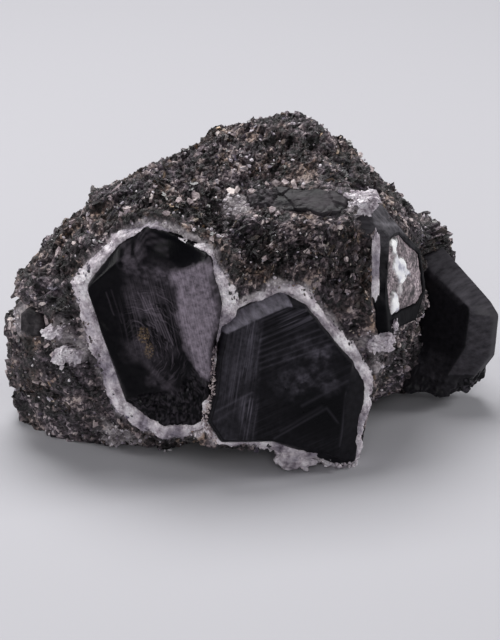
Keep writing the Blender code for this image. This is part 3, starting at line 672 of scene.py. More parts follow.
def scatter(points, faces, count):
    """Places on a surface, each triangle chosen as often as its area says, and the corner used."""
    a, b, c = points[faces].transpose(1, 0, 2)
    area = np.linalg.norm(np.cross(b - a, c - a), axis=1)
    pick = chance.choice(len(faces), count, p=area / area.sum())
    u, v = chance.random((2, count, 1))
    fold = u + v > 1
    u, v = np.where(fold, 1 - u, u), np.where(fold, 1 - v, v)
    return a[pick] + u * (b - a)[pick] + v * (c - a)[pick], faces[pick, 0]


def unit(vectors):
    """Vectors made one long."""
    return vectors / np.maximum(np.linalg.norm(vectors, axis=-1, keepdims=True), 1e-9)


CORNERS = 5
PLATE = np.array(
    [(0, k, k + 1) for k in range(1, CORNERS - 1)]
    + [(CORNERS, CORNERS + k + 1, CORNERS + k) for k in range(1, CORNERS - 1)]
    + [(k, CORNERS + k, CORNERS + (k + 1) % CORNERS) for k in range(CORNERS)]
    + [(k, CORNERS + (k + 1) % CORNERS, (k + 1) % CORNERS) for k in range(CORNERS)]
)


def plates(at, facing, along, half, thick, stretch):
    """Corner k of a plate: middle + r_k (stretch cos a_k one + sin a_k two), where one is the part of
    'along' that lies in the plate and two is square to it; the back is pulled in and pushed back."""
    count = len(at)
    one = unit(along - (along * facing).sum(-1, keepdims=True) * facing)
    two = np.cross(facing, one)
    angle = 2 * np.pi * (np.arange(CORNERS) + chance.uniform(-0.3, 0.3, (count, CORNERS))) / CORNERS
    reach = half[:, None] * chance.uniform(0.75, 1.15, (count, CORNERS))
    x = (reach * np.cos(angle) * stretch[:, None])[..., None] * one[:, None]
    y = (reach * np.sin(angle))[..., None] * two[:, None]
    front = at[:, None] + x + y + (facing * thick[:, None] / 2)[:, None]
    back = at[:, None] + 0.82 * (x + y) - (facing * thick[:, None] / 2)[:, None]
    points = np.concatenate([front, back], 1).reshape(-1, 3)
    points[:, 2] = np.maximum(points[:, 2], 0.0)
    return points, repeated(PLATE, 2 * CORNERS, count)


# %% Places of the flakes
FLAKES = 15000
CRYSTAL_BODIES = (
    (LEFT_SEAT, LEFT_OUTLINE, LEFT_DEPTH), (CENTRE_SEAT, CENTRE_OUTLINE, CENTRE_DEPTH),
    (RIGHT_SEAT, RIGHT_BACK, RIGHT_DEPTH), (EDGE_SEAT, EDGE_OUTLINE, EDGE_DEPTH),
    (UPPER_SEAT, grown(flat(UPPER_FACE, 0), -1.1), UPPER_DEPTH), (SMALL_SEAT, SMALL_FACE, SMALL_DEPTH),
)


def clear_of_crystals(points, space):
    """True where a point isn't in a crystal or right in front of it."""
    free = np.ones(len(points), bool)
    for seat, outline, depth in CRYSTAL_BODIES:
        p = in_plane(seat, points)
        inside = (outside(p[:, :2], outline) < space) & (p[:, 2] > -4) & (p[:, 2] < depth + 1)
        free &= ~inside
    low_right = (points[:, 0] > 21) & (points[:, 1] < 1) & (points[:, 2] < 9.5)  # stays bare and dark
    return free & ~low_right


at, corner = scatter(ground, ground_faces, FLAKES)
keep = clear_of_crystals(at, 0.35) & (at[:, 2] > 0.02)
at, corner = at[keep], corner[keep]
share = feldspar_share(at)
bare = 0.75 * np.clip(2.2 * cloud(at, 9.0, 88, 2) - 0.25, 0, 1) * (1 - in_wall(at))  # fewer flakes here
is_mica = chance.random(len(at)) > share + bare
at, corner = at[is_mica], corner[is_mica]
out = rock_out[corner]
print("flakes on the rock:", len(at))

# %% Turns and sizes of the flakes
wall = in_wall(at)
stray = unit(chance.normal(size=at.shape))
along = unit(stray * (1 - 0.85 * wall)[:, None] + np.array([0.12, 0.0, 1.0]) * (1.2 * wall)[:, None])
facing = unit(out * (0.85 + 0.15 * wall)[:, None] + 0.75 * unit(chance.normal(size=at.shape)))
half = np.where(chance.random(len(at)) < 0.18, chance.uniform(0.45, 0.8, len(at)),
                chance.uniform(0.17, 0.42, len(at))) * (1 - 0.38 * wall)
stretch = chance.uniform(1.0, 2.0, len(at)) + 2.4 * wall
thick = half * chance.uniform(0.3, 0.8, len(at))
lift = chance.uniform(-0.2, 0.1, len(at)) - 0.25 * half
points = plates(at + out * lift[:, None], facing, along, half, thick, stretch)[0]
kind = chance.random(len(at)) + 0.20 * wall + 0.30 * cloud(at, 4.0, 90, 3) - 0.05
tones = chance.random(len(at))
print("mean width", round(float(2 * half.mean()), 2), "mm")

# %% [markdown]
# Three finishes of mica, all **phlogopite mica, split along its plates**: brown-black books, golden
# brown ones, and silvery grey ones, whose pale colour is partly their own and partly a painted glint.
# Pearly plates need a low roughness and a coat; the tone of each plate is its own. The same function
# makes the **feldspar splinters** between the flakes, white and with hardly any coat.


# %% Mica materials
def mica(name, stops, roughness, coat):
    """Mica plates: the tone of each plate picks its colour, with fine streaks over it."""
    material, tree, shader = finish(name, roughness, 1.58)
    shader.inputs["Coat Weight"].default_value = coat
    shader.inputs["Coat Roughness"].default_value = 0.18
    tone_in = add(tree, "ShaderNodeAttribute", attribute_name="tone").outputs["Fac"]
    place = add(tree, "ShaderNodeTexCoord").outputs["Object"]
    streak = add(tree, "ShaderNodeTexNoise", {"Vector": place, "Scale": 2.1 * PER_MM, "Detail": 3.0,
                                              "Roughness": 0.7}).outputs["Fac"]
    base = add(tree, "ShaderNodeValToRGB", {0: tone_in}, stops=stops).outputs["Color"]
    shade = add(tree, "ShaderNodeMapRange", {0: streak, 1: 0.40, 2: 0.62, 3: 0.35, 4: 1.75})
    final = add(tree, "ShaderNodeVectorMath", {0: base, "Scale": shade.outputs[0]}, operation="SCALE")
    area = add(tree, "ShaderNodeTexNoise", {"Vector": place, "Scale": 0.13 * PER_MM, "Detail": 2.0})
    tint = add(tree, "ShaderNodeValToRGB", {0: area.outputs["Fac"]}, stops=[
        (0.38, "#ffe6cc"), (0.5, "#ffffff"), (0.62, "#e6e2ff")]).outputs["Color"]
    tinted = add(tree, "ShaderNodeVectorMath", {0: final.outputs[0], 1: tint}, operation="MULTIPLY")
    tree.links.new(tinted.outputs[0], shader.inputs["Base Color"])
    bump = add(tree, "ShaderNodeBump", {"Height": streak, "Strength": 0.6, "Distance": 0.3 * MM})
    tree.links.new(bump.outputs[0], shader.inputs["Normal"])
    return material


mica_black, mica_brown, mica_silver, plate_white = (
    mica(name, list(zip((0, 0.6, 1), colours)), roughness, coat) for name, colours, roughness, coat in (
        ("phlogopite_brown_black", ("#141114", "#2b262a", "#463f44"), 0.36, 0.35),
        ("phlogopite_golden_brown", ("#1d1613", "#3a302a", "#6b5c4d"), 0.36, 0.35),
        # pale silvery grey: partly the plates' own colour, partly a painted glint of light off them
        ("phlogopite_silver_painted_glint", ("#2f2a2f", "#514950", "#90878c"), 0.34, 0.4),
        ("plagioclase_splinters", ("#7d7672", "#a39c96", "#c9c2bb"), 0.45, 0.1),
    ))

# %% Mica pieces
for name, material, low, high in (
    ("mica_black", mica_black, -9, 0.40), ("mica_brown", mica_brown, 0.40, 0.58),
    ("mica_silver", mica_silver, 0.58, 0.965), ("feldspar_plates", plate_white, 0.965, 9),
):
    mine = np.flatnonzero((kind >= low) & (kind < high))
    rows = (mine[:, None] * 2 * CORNERS + np.arange(2 * CORNERS)).ravel()
    slot = "feldspar" if material is plate_white else "mica_rock"
    add_piece(name, points[rows], repeated(PLATE, 2 * CORNERS, len(mine)), material, slot, smooth=False,
              marks={"tone": np.repeat(tones[mine], 2 * CORNERS)})

# %% [markdown]
# ## The crystals
# Each crystal is a closed skin: rings of matching corners, from a point in the middle of its face out
# over the edges and round to its back. Straight lines between the corners keep the faces flat; a
# little smoothing of the fine grid rounds the edges by a few tenths of a millimetre, as wear does. A
# relief function then adds growth steps, hollows and broken places, measured across the face.


# %% Skin of a crystal
def along_ring(ring, around, shares):
    """Points along a closed ring: each side gets its share of them, evenly spread."""
    ring = np.asarray(ring, float)
    edges = np.concatenate([[0], np.cumsum(shares)])
    where = np.arange(around) / around * edges[-1]
    side = np.clip(np.searchsorted(edges, where, side="right") - 1, 0, len(ring) - 1)
    t = ((where - edges[side]) / np.asarray(shares)[side])[:, None]
    return ring[side] * (1 - t) + ring[(side + 1) % len(ring)] * t


def skin(seat, rings, across, around, smoothing=1, relief=None):
    """Grid of (ring, place along it): position = (1 - s) ring_k + s ring_k+1, smoothed with the
    weights 1 2 1, plus relief(place in the plane, k + s, point) along the outward way, ends closed."""
    shares = np.linalg.norm(np.diff(np.vstack([rings[-1], rings[-1][:1]])[:, :2], axis=0), axis=1)
    rows = [along_ring(ring, around, shares) for ring in rings]
    first, last = rows[0].mean(0), rows[-1].mean(0)
    rows = [np.tile(first, (around, 1)), *rows, np.tile(last, (around, 1))]
    grid, level = [], []
    for k, steps in enumerate(across):
        s = np.arange(steps) / steps
        grid.append(rows[k] * (1 - s)[:, None, None] + rows[k + 1] * s[:, None, None])
        level.append(k + s)
    grid = np.concatenate(grid + [rows[-1][None]])
    level = np.concatenate(level + [[len(across)]])
    for _ in range(smoothing):
        inner = (grid[:-2] + 2 * grid[1:-1] + grid[2:]) / 4
        grid = np.concatenate([grid[:1], inner, grid[-1:]])
        grid = (np.roll(grid, 1, 1) + 2 * grid + np.roll(grid, -1, 1)) / 4
    rings_count = len(grid) - 2
    flat_grid = np.concatenate([grid[:1, 0], grid[1:-1].reshape(-1, 3), grid[-1:, 0]])
    levels = np.concatenate([[0.0], np.repeat(level[1:-1], around), [level[-1]]])
    k, j = np.meshgrid(np.arange(rings_count - 1), np.arange(around), indexing="ij")
    a, b = 1 + k * around + j, 1 + k * around + (j + 1) % around
    squares = np.stack([a, b, b + around, a + around], -1).reshape(-1, 4)
    j = np.arange(around)
    top = np.stack([0 * j, 1 + (j + 1) % around, 1 + j], -1)
    base = 1 + (rings_count - 1) * around
    end = np.stack([0 * j + len(flat_grid) - 1, base + j, base + (j + 1) % around], -1)
    faces = np.concatenate([top, triangles(squares)[:, ::-1], end])
    points = placed(seat, flat_grid)
    if (np.cross(points[faces[:, 1]] - points[faces[:, 0]], points[faces[:, 2]] - points[faces[:, 0]])
            * (points[faces[:, 0]] - points.mean(0))).sum() < 0:
        faces = faces[:, ::-1]
    if relief is not None:
        height = relief(flat_grid, levels, points)
        calm = np.clip(levels / 0.07, 0, 1)  # level in the very middle, where the corners crowd
        height = height[0] + (height - height[0]) * calm
        points = points + normals(points, faces) * height[:, None]
    points[:, 2] = np.maximum(points[:, 2], 0.0)
    return points, faces, flat_grid, levels


# %% [markdown]
# Finish of the crystals: **sapphirine, natural growth faces**. Dense, nearly black with a touch of
# blue, glassy to slightly greasy. Growth leaves fine straight striations, and dust and wear give a
# thin grey haze. The same grey also paints light onto the crystals: the sheen of a facet and the lit
# bevels are painted lighter. The haze, the painted light and the lines come from numbers on the
# mesh, the striations from a stretched noise on the face map, whose unit is a centimetre.


# %% Sapphirine material
def sapphirine(name, turn, haze_and_painted_light_colour, stripe_scale=18.0, second_turn=None, arcs=None, gloss=0.065):
    """Near-black crystal: haze, painted light and strokes lighten it, striations run along 'turn'
    degrees, and arcs run round a point of the face map."""
    material, tree, shader = finish(name, 0.3, 1.7)
    shader.inputs["Specular IOR Level"].default_value = gloss
    face = add(tree, "ShaderNodeUVMap", uv_map="face_cm").outputs[0]
    # this mark holds real haze and also painted light: the painted sheen and the painted lit bevels
    haze_and_painted_light_in = add(tree, "ShaderNodeAttribute", attribute_name="haze_and_painted_light").outputs["Fac"]
    stroke_in = add(tree, "ShaderNodeAttribute", attribute_name="stroke").outputs["Fac"]
    split_in = add(tree, "ShaderNodeAttribute", attribute_name="split").outputs["Fac"]
    lines_in = add(tree, "ShaderNodeAttribute", attribute_name="lines").outputs["Fac"]

    def stripes(degrees):
        """Noise on the face map, turned by the degrees and squeezed into stripes."""
        turned = add(tree, "ShaderNodeMapping", {"Vector": face, "Rotation": (0, 0, -np.radians(degrees))})
        squeezed = add(tree, "ShaderNodeMapping", {"Vector": turned.outputs[0],
                                                   "Scale": (0.7, stripe_scale, 1)})
        return add(tree, "ShaderNodeTexNoise", {"Vector": squeezed.outputs[0], "Scale": 1.0,
                                                "Detail": 3.0, "Roughness": 0.6}).outputs["Fac"]

    first = stripes(turn)
    second = stripes(turn if second_turn is None else second_turn)
    stripe = add(tree, "ShaderNodeMix", {0: split_in, 2: first, 3: second}).outputs[0]
    dust = add(tree, "ShaderNodeTexNoise", {"Vector": face, "Scale": 9.0, "Detail": 6.0,
                                            "Roughness": 0.62}).outputs["Fac"]
    grey = add(tree, "ShaderNodeMapRange", {0: dust, 1: 0.34, 2: 0.66, 3: 0.45, 4: 1.55}).outputs[0]
    grey = add(tree, "ShaderNodeMath", {0: grey, 1: haze_and_painted_light_in}, operation="MULTIPLY").outputs[0]
    sharp = add(tree, "ShaderNodeMapRange", {0: stripe, 1: 0.47, 2: 0.66, 3: 0.0, 4: 1.0}).outputs[0]
    grey = add(tree, "ShaderNodeMath", {0: sharp, 1: lines_in, 2: grey},
               operation="MULTIPLY_ADD").outputs[0]
    grey = add(tree, "ShaderNodeMath", {0: grey, 1: stroke_in}, operation="ADD", use_clamp=True).outputs[0]
    if arcs:
        arc_in = add(tree, "ShaderNodeAttribute", attribute_name="arc").outputs["Fac"]
        drift = add(tree, "ShaderNodeTexNoise", {"Vector": face, "Scale": 2.2, "Detail": 2.0})
        bent = add(tree, "ShaderNodeVectorMath", {0: drift.outputs["Color"], 1: (0.45, 0.45, 0), 2: face},
                   operation="MULTIPLY_ADD").outputs[0]
        middle = (arcs[0] + 0.22, arcs[1] + 0.22, 0)  # the bend moves everything by 0.22 on average
        away = add(tree, "ShaderNodeVectorMath", {0: bent, 1: middle}, operation="SUBTRACT").outputs[0]
        far = add(tree, "ShaderNodeVectorMath", {0: away}, operation="LENGTH").outputs["Value"]
        part = add(tree, "ShaderNodeSeparateXYZ", {0: away})
        angle = add(tree, "ShaderNodeMath", {0: part.outputs["Y"], 1: part.outputs["X"]},
                    operation="ARCTAN2")
        round_map = add(tree, "ShaderNodeCombineXYZ", {"X": angle.outputs[0], "Y": far})
        long_map = add(tree, "ShaderNodeMapping", {"Vector": round_map.outputs[0], "Scale": (2.0, 22, 1)})
        arc = add(tree, "ShaderNodeTexNoise", {"Vector": long_map.outputs[0], "Scale": 1.0, "Detail": 4.0,
                                               "Roughness": 0.6}).outputs["Fac"]
        arc = add(tree, "ShaderNodeMapRange", {0: arc, 1: 0.52, 2: 0.68, 3: 0.0, 4: 1.0}).outputs[0]
        grey = add(tree, "ShaderNodeMath", {0: arc, 1: arc_in, 2: grey}, operation="MULTIPLY_ADD",
                   use_clamp=True).outputs[0]
    colour = add(tree, "ShaderNodeMix", {0: grey, 6: linear("#060609"), 7: linear(haze_and_painted_light_colour)},
                 data_type="RGBA").outputs[2]
    if arcs:
        speck_in = add(tree, "ShaderNodeAttribute", attribute_name="speck").outputs["Fac"]
        crumb = add(tree, "ShaderNodeTexNoise", {"Vector": face, "Scale": 22.0, "Detail": 5.0,
                                                 "Roughness": 0.75})
        crumb = add(tree, "ShaderNodeMapRange", {0: crumb.outputs["Fac"], 1: 0.46, 2: 0.7}).outputs[0]
        crumb = add(tree, "ShaderNodeMath", {0: crumb, 1: speck_in}, operation="MULTIPLY").outputs[0]
        colour = add(tree, "ShaderNodeMix", {0: crumb, 6: colour, 7: linear("#8d775c")},
                     data_type="RGBA").outputs[2]
    tree.links.new(colour, shader.inputs["Base Color"])
    rough_out = add(tree, "ShaderNodeMapRange", {0: grey, 1: 0.0, 2: 0.25, 3: 0.27, 4: 0.58}).outputs[0]
    tree.links.new(rough_out, shader.inputs["Roughness"])
    bump = add(tree, "ShaderNodeBump", {"Height": stripe, "Strength": 0.22, "Distance": 0.15 * MM})
    tree.links.new(bump.outputs[0], shader.inputs["Normal"])
    return material


def stroke(points, lines):
    """Fine lines: each is two ends, half width and strength; the strength falls off as a bell."""
    total = np.zeros(len(points))
    for x0, y0, x1, y1, half, strength in lines:
        side = np.array([x1 - x0, y1 - y0])
        t = np.clip(((points[:, :2] - (x0, y0)) @ side) / (side @ side), 0, 1)
        far = np.linalg.norm(points[:, :2] - (x0, y0) - t[:, None] * side, axis=1)
        total = np.maximum(total, strength * np.exp(-((far / half) ** 2)))
    return total


def near(points, x, y, rx, ry):
    """A soft round patch on a face: 1 in its middle, 0 at its edge."""
    far = ((points[:, 0] - x) / rx) ** 2 + ((points[:, 1] - y) / ry) ** 2
    return np.clip(1 - far, 0, 1) ** 0.7


# %% [markdown]
# ### Left crystal
# Its face is worn into a shallow dish with a thumb-print hollow at the top, a satin facet on the
# right whose sheen is painted into its colour, and a rough broken foot.

# %% Left crystal mesh
SHEEN = [(-8.9, 12.3), (-2.5, 15.2), (-1.2, 12.5), (0.6, 5.7), (-0.5, -2.6), (-0.7, -8.9), (-3.0, -7.5),
         (-5.1, -3.5), (-7.8, 4.7)]
BROKEN = [(-17.4, -14.0), (-13.0, -12.4), (-8.2, -11.4), (-4.3, -5.8), (-0.3, -9.1), (-0.9, -17.5),
          (-10.3, -23.0), (-20.0, -18.0)]


def left_relief(p, level, points):
    """Thumb-print, shallow dish with waves, rough broken foot; next to nothing on the back."""
    front = np.clip(3.2 - level, 0, 1)
    thumb = -0.7 * near(p, -7.4, 16.0, 5.6, 3.2) + 0.10 * near(p, -7.6, 13.0, 4.6, 0.9)
    dish = -0.35 * near(p, -15.0, 1.0, 6.5, 9.0)
    dish += 0.22 * cloud(points, 3.2, 101, 3) * near(p, -14, 1, 11, 14)
    foot = np.clip(-outside(p[:, :2], BROKEN) / 1.2, 0, 1)
    broken = foot * (0.9 * cloud(points, 2.6, 105, 3) + blocks(points, 1.1, 0.3, 0.4, 107) - 0.5)
    return front * (thumb + dish + broken) + 0.02 * cloud(points, 0.9, 109)


rings = [LEFT_HOLLOW, LEFT_FACE, LEFT_OUTLINE, flat(LEFT_OUTLINE, LEFT_DEPTH)]
points, faces, p, level = skin(LEFT_SEAT, rings, (38, 14, 12, 8, 3), 420, 8, left_relief)
face = level < 2.9
# painted sheen: this mask lightens the colour of the right facet where light would catch it
ragged = outside(p[:, :2], SHEEN) + 0.9 * cloud(points, 2.6, 127, 3)
sheen = np.clip(0.5 - ragged / 1.6, 0, 1) * (p[:, 2] < 2.6) * np.clip((0.9 - p[:, 0]) / 0.8, 0, 1)
foot = np.clip(-outside(p[:, :2], BROKEN) / 1.2, 0, 1)
swirl = np.clip(0.4 + 1.5 * cloud(points, 4.4, 120, 4), 0, 1.3) * near(p, -13, 3, 9, 13)
# haze from the swirls and specks on the broken foot, plus the painted sheen
haze_and_painted_light = 0.010 + 0.12 * swirl * (1 - foot) + 0.09 * foot * (cloud(points, 0.45, 123, 3) > 0.15) + 0.60 * sheen
worn = near(p, -17.2, 14.6, 3.6, 3.6) + near(p, -11.5, 11.2, 6.0, 2.4)
worn += 0.6 * near(p, -11.0, -10.0, 3.4, 2.4)
haze_and_painted_light = haze_and_painted_light + 0.22 * worn * np.clip(0.4 + 1.2 * cloud(points, 1.2, 125, 3), 0, 1)
haze_and_painted_light = haze_and_painted_light * (1 - 0.85 * near(p, -9.0, 17.6, 6.4, 3.4))
arc = 0.34 * near(p, -12.5, 2.5, 6.5, 7.0) + 0.20 * near(p, -9.5, -6.0, 4.5, 5.0)
speck = np.clip(2.2 * near(p, -14.6, -1.0, 1.3, 1.7) + 1.4 * near(p, -13.4, -4.0, 1.1, 1.8), 0, 1)
haze_and_painted_light = np.where(level > 3.2, 0.05, haze_and_painted_light)
lined = 0.17 * near(p, -12.5, 3, 8, 10) + 0.30 * sheen
lines = [(-15.9 + 0.75 * k, 7.6 - 0.5 * k, -12.6 + 0.8 * k, 0.6 - 0.6 * k, 0.13, 0.22 + 0.10 * (k % 2))
         for k in range(6)]
lines += [(-12.6 + 0.5 * k, -7.4 - 0.9 * k, -8.2 + 0.7 * k, -11.6 - 0.2 * k, 0.22, 0.09) for k in range(3)]
lines += [(-16.0 - 0.2 * k, 20.0 - 0.8 * k, -10.8 + 0.3 * k, 17.8 - 1.0 * k, 0.20, 0.11) for k in range(3)]
lines += [(-22.2, 7.0, -20.6, 2.6, 0.12, 0.12), (-21.2, 7.6, -19.0, 1.0, 0.11, 0.08),
          (-14.0, -6.5, -8.5, -12.4, 0.6, 0.09)]
left_finish = sapphirine("sapphirine_left", 105, "#8e8490", 30.0, arcs=(-1.55, -0.45), gloss=0.045)
add_piece("left_crystal_skin", points, faces, left_finish, "sapphirine",
          marks={"haze_and_painted_light": haze_and_painted_light, "stroke": stroke(p, lines) * face, "lines": lined, "arc": arc,
                 "speck": speck}, face_map=p[:, :2] / 10)
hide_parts("left_crystal")

# %% [markdown]
# ### Centre crystal
# A flat plate with one bevelled edge, painted light grey as if lit. Two sets of growth lines cross it:
# one runs with the upper left edge, one with the left edge, and they meet on a line down the middle.

# %% Centre crystal mesh
SPINE = ((8.9, 5.5), (7.2, -12.0))


def beside_spine(p):
    """Less than zero left of the line where the two sets of growth lines meet."""
    (x0, y0), (x1, y1) = SPINE
    return p[:, 0] - (x0 + (p[:, 1] - y0) * (x1 - x0) / (y1 - y0))


def centre_relief(p, level, points):
    """Growth steps of up to 0.04 mm along both sets of lines, and faint waves."""
    front = np.clip(1.9 - level, 0, 1)
    along_top = -p[:, 0] * np.sin(np.radians(17)) + p[:, 1] * np.cos(np.radians(17))
    along_left = p[:, 0] * np.sin(np.radians(78)) - p[:, 1] * np.cos(np.radians(78))
    steps = np.where(beside_spine(p) > 0, dice(np.stack([np.floor(along_top / 0.8)] * 3, -1), 5),
                     dice(np.stack([np.floor(along_left / 0.7)] * 3, -1), 6))
    return front * (0.04 * steps + 0.05 * cloud(points, 4.0, 130, 2)) + 0.015 * cloud(points, 0.8, 131)


rings = [flat(CENTRE_FACE, 0), CENTRE_OUTLINE, flat(CENTRE_OUTLINE, CENTRE_DEPTH)]
points, faces, p, level = skin(CENTRE_SEAT, rings, (62, 12, 8, 3), 420, 3, centre_relief)
right_of = np.clip(0.5 + beside_spine(p) / 1.2, 0, 1)
face = level < 1.0
band = (level >= 1.0) & (level < 2.0) & (p[:, 1] > 4.4) & (p[:, 0] < 15.4)
upper = np.clip((p[:, 1] - 0.32 * p[:, 0] + 2.6) / 3.4, 0, 1)
by_spine = np.exp(-(((beside_spine(p) + 2.0) / 2.6) ** 2))
mottle = near(p, 20.8, -2.7, 2.6, 2.8) + near(p, 17.1, -7.8, 2.2, 2.4) + near(p, 22, -9.6, 3.4, 2.2)
mottle = (mottle + 0.6 * near(p, 17, -4, 8, 8)) * np.clip(0.6 + cloud(points, 1.4, 140, 3), 0.1, 1.4)
dark = 1 - 0.95 * near(p, 21.5, -14.5, 9, 6)
haze_and_painted_light = (1 - right_of) * (0.085 + 0.04 * cloud(points, 5.0, 143, 3)) + right_of * (0.02 + 0.17 * mottle)
# painted light: the upper left bevel is painted light grey, as lit from above; the back stays dark
haze_and_painted_light = np.where(band, 0.38, np.where(level >= 1.0, 0.03, haze_and_painted_light * dark))
lined = (1 - right_of) * (0.10 + 0.20 * by_spine) + right_of * (0.025 + 0.30 * upper)
lined = lined * dark * face * np.clip(0.8 + 1.2 * cloud(points, 4.0, 144, 2), 0.2, 1.6) + 0.10 * band
lines = []
for k in range(9):
    rise, luck = 7.2 - 1.15 * k, float(dice([[k, 0, 0]], 3)[0])
    lines.append((8.0, rise - 1.6, 15.8 + 1.0 * k, rise + 1.4, 0.16, 0.02 + 0.12 * luck))
for k in range(8):
    x, luck = 1.6 + 0.9 * k, float(dice([[k, 1, 0]], 3)[0])
    lines.append((x, 4.4 + 0.2 * k, x - 2.6, -9.0 + 0.9 * k, 0.2, 0.02 + 0.05 * luck))
lines += [(10.6, -18.4, 21.7, -13.6, 0.22, 0.09), (21.7, -13.6, 24.0, -17.0, 0.22, 0.08),
          (16.6, -12.4, 26.2, -8.6, 0.3, 0.08), (-1.6, -11.2, 6.4, -8.2, 0.25, 0.13),
          (-1.0, -13.0, 6.0, -9.6, 0.3, 0.08), (26.0, -11.0, 24.4, -22.0, 0.3, 0.12),
          (12.0, -17.0, 20.6, -13.2, 0.3, 0.05), (3.2, -9.6, 4.8, -16.6, 0.4, 0.06)]
centre_finish = sapphirine("sapphirine_centre", 78, "#837e8b", 17.0, second_turn=17, gloss=0.048)
add_piece("centre_crystal_skin", points, faces, centre_finish, "sapphirine",
          marks={"haze_and_painted_light": haze_and_painted_light, "stroke": stroke(p, lines) * face, "lines": lined, "split": right_of},
          face_map=p[:, :2] / 10)
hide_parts("centre_crystal")

# %% [markdown]
# ### Right crystal
# The largest free-standing one: a black front, smooth bevels on its upper and right sides that are
# painted grey as lit, and a rough foot where it broke off.

# %% Right crystal mesh
def right_relief(p, level, points):
    """Faint waves; the lower end is broken."""
    low = np.clip((-15.0 - p[:, 1]) / 3, 0, 1)
    return 0.04 * cloud(points, 3.0, 150, 2) + low * (0.7 * cloud(points, 3.0, 151, 3)
                                                      + blocks(points, 1.5, 0.3, 0.3, 152))


rings = [flat(RIGHT_FACE, 0), flat(RIGHT_BACK, 0.6 * RIGHT_DEPTH), flat(RIGHT_BACK, RIGHT_DEPTH)]
points, faces, p, level = skin(RIGHT_SEAT, rings, (34, 16, 8, 4), 300, 2, right_relief)
side = (level >= 1.0) & (p[:, 1] > -15)
dust = 0.06 * near(p, -8, -16, 9, 6) * np.clip(1 + cloud(points, 1.4, 153, 3), 0, 2)
# painted light: the upper and right bevels are painted light grey, as lit; the front keeps its dust
haze_and_painted_light = np.where(side, 0.17, 0.03 + dust)
edge = np.clip(1 - np.abs(outside(p[:, :2], RIGHT_FACE)) / 1.6, 0, 1) * (p[:, 0] - p[:, 1] < -2)
haze_and_painted_light = haze_and_painted_light + np.where(side, 0, 0.10 * edge)
ball, ball_faces = round_grid(26)
swell = 0.92 + 0.10 * cloud(ball * 9, 2.6, 12, 2)
lump = np.array(RIGHT_BASE_MIDDLE) + ball * swell[:, None] * RIGHT_BASE_HALF
lump = lump + ball * (blocks(lump, 2.4, 0.45, 0.45, 14) + 0.25 * cloud(lump, 1.0, 15, 2))[:, None]
lump[:, 2] = np.maximum(lump[:, 2], 0)
points, faces = joined((points, faces), (lump, ball_faces))
haze_and_painted_light = np.concatenate([haze_and_painted_light, 0.03 + 0.25 * (cloud(lump, 0.9, 16, 2) > 0.22)])
p = np.concatenate([p, in_plane(RIGHT_SEAT, lump)])
add_piece("right_crystal_skin", points, faces, sapphirine("sapphirine_right", 88, "#7b767f", 14.0),
          "sapphirine", marks={"haze_and_painted_light": haze_and_painted_light, "lines": 0.15 * haze_and_painted_light}, face_map=p[:, :2] / 10)
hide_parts("right_crystal")

# %% [markdown]
# ### Edge crystal, its filling, and the two small crystals
# The edge crystal is seen from its side. Its face broke open, and white and pinkish feldspar fills
# the hole. The upper crystal lies almost flat in the rock; a small one sticks out at the left.

# %% Edge, upper and small crystals
def faint(p, level, points):
    """Small dents and waves."""
    return 0.10 * cloud(points, 2.4, 160, 3)


def broken(p, level, points):
    """Sloping facets of a few millimetres, rougher towards the left end."""
    rugged = np.clip((-3.4 - p[:, 0]) / 2, 0, 1)
    facets = blocks(points, 6.0, 0.04, 0.06, 162) + rugged * blocks(points, 1.0, 0.15, 0.4, 163)
    return facets + 0.10 * cloud(points, 2.0, 164, 4)


window = flat(EDGE_WINDOW, 0)
rings = [flat(EDGE_WINDOW, EDGE_WINDOW_DEPTH), window, flat(EDGE_FACE, 0), EDGE_OUTLINE,
         flat(EDGE_OUTLINE, EDGE_DEPTH)]
points, faces, p, level = skin(EDGE_SEAT, rings, (3, 6, 6, 12, 8, 3), 260, 1, faint)
# painted light: the top facets are painted lighter, as lit from above, and the face grows lighter towards
# the top
top = np.clip((p[:, 1] - 7.5) / 2, 0, 1) * (level > 2.5)
haze_and_painted_light = 0.015 + 0.26 * top + 0.05 * np.clip((p[:, 1] + 3) / 6, 0, 1) * (1 + 2 * cloud(points, 2.0, 161, 3))
edge_finish = sapphirine("sapphirine_edge", 90, "#7f7c82", 16.0, gloss=0.02)
bright_line = stroke(p, [(-5.0, 13.8, 0.5, 11.4, 0.3, 0.35)])
add_piece("edge_crystal_skin", points, faces, edge_finish, "sapphirine",
          marks={"haze_and_painted_light": haze_and_painted_light, "stroke": bright_line, "lines": 0.5 * haze_and_painted_light}, face_map=p[:, :2] / 10)
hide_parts("edge_crystal")

for name, seat, outline, depth, wear, bevel, tint in (
    ("upper_crystal", UPPER_SEAT, UPPER_FACE, UPPER_DEPTH, 0.4, 0.5, "#8a8188"),
    ("small_left_crystal", SMALL_SEAT, SMALL_FACE, SMALL_DEPTH, 0.6, 0.7, "#a0979b"),
):
    rings = [flat(grown(flat(outline, 0), -wear), 0), flat(outline, bevel), flat(outline, depth)]
    points, faces, p, level = skin(seat, rings, (26, 4, 8, 3), 220, 1, broken)
    rugged = np.clip((-3.4 - p[:, 0]) / 2, 0, 1) * (name == "upper_crystal")
    haze_and_painted_light = 0.085 + 0.07 * cloud(points, 2.2, 170, 4) + 0.15 * rugged * (cloud(points, 0.7, 171, 2) > 0.15)
    add_piece(name + "_skin", points, faces, sapphirine("sapphirine_" + name, 10, tint, 16.0),
              "sapphirine", marks={"haze_and_painted_light": np.clip(haze_and_painted_light, 0.01, 1), "lines": 0.4 * haze_and_painted_light},
              face_map=p[:, :2] / 10)
    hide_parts(name)

# %% [markdown]
# ## Feldspar
# Finish: **plagioclase feldspar, broken sugary aggregate**. White to faintly lavender grey, slightly
# see-through grains of half a millimetre, so a little light goes under the surface.


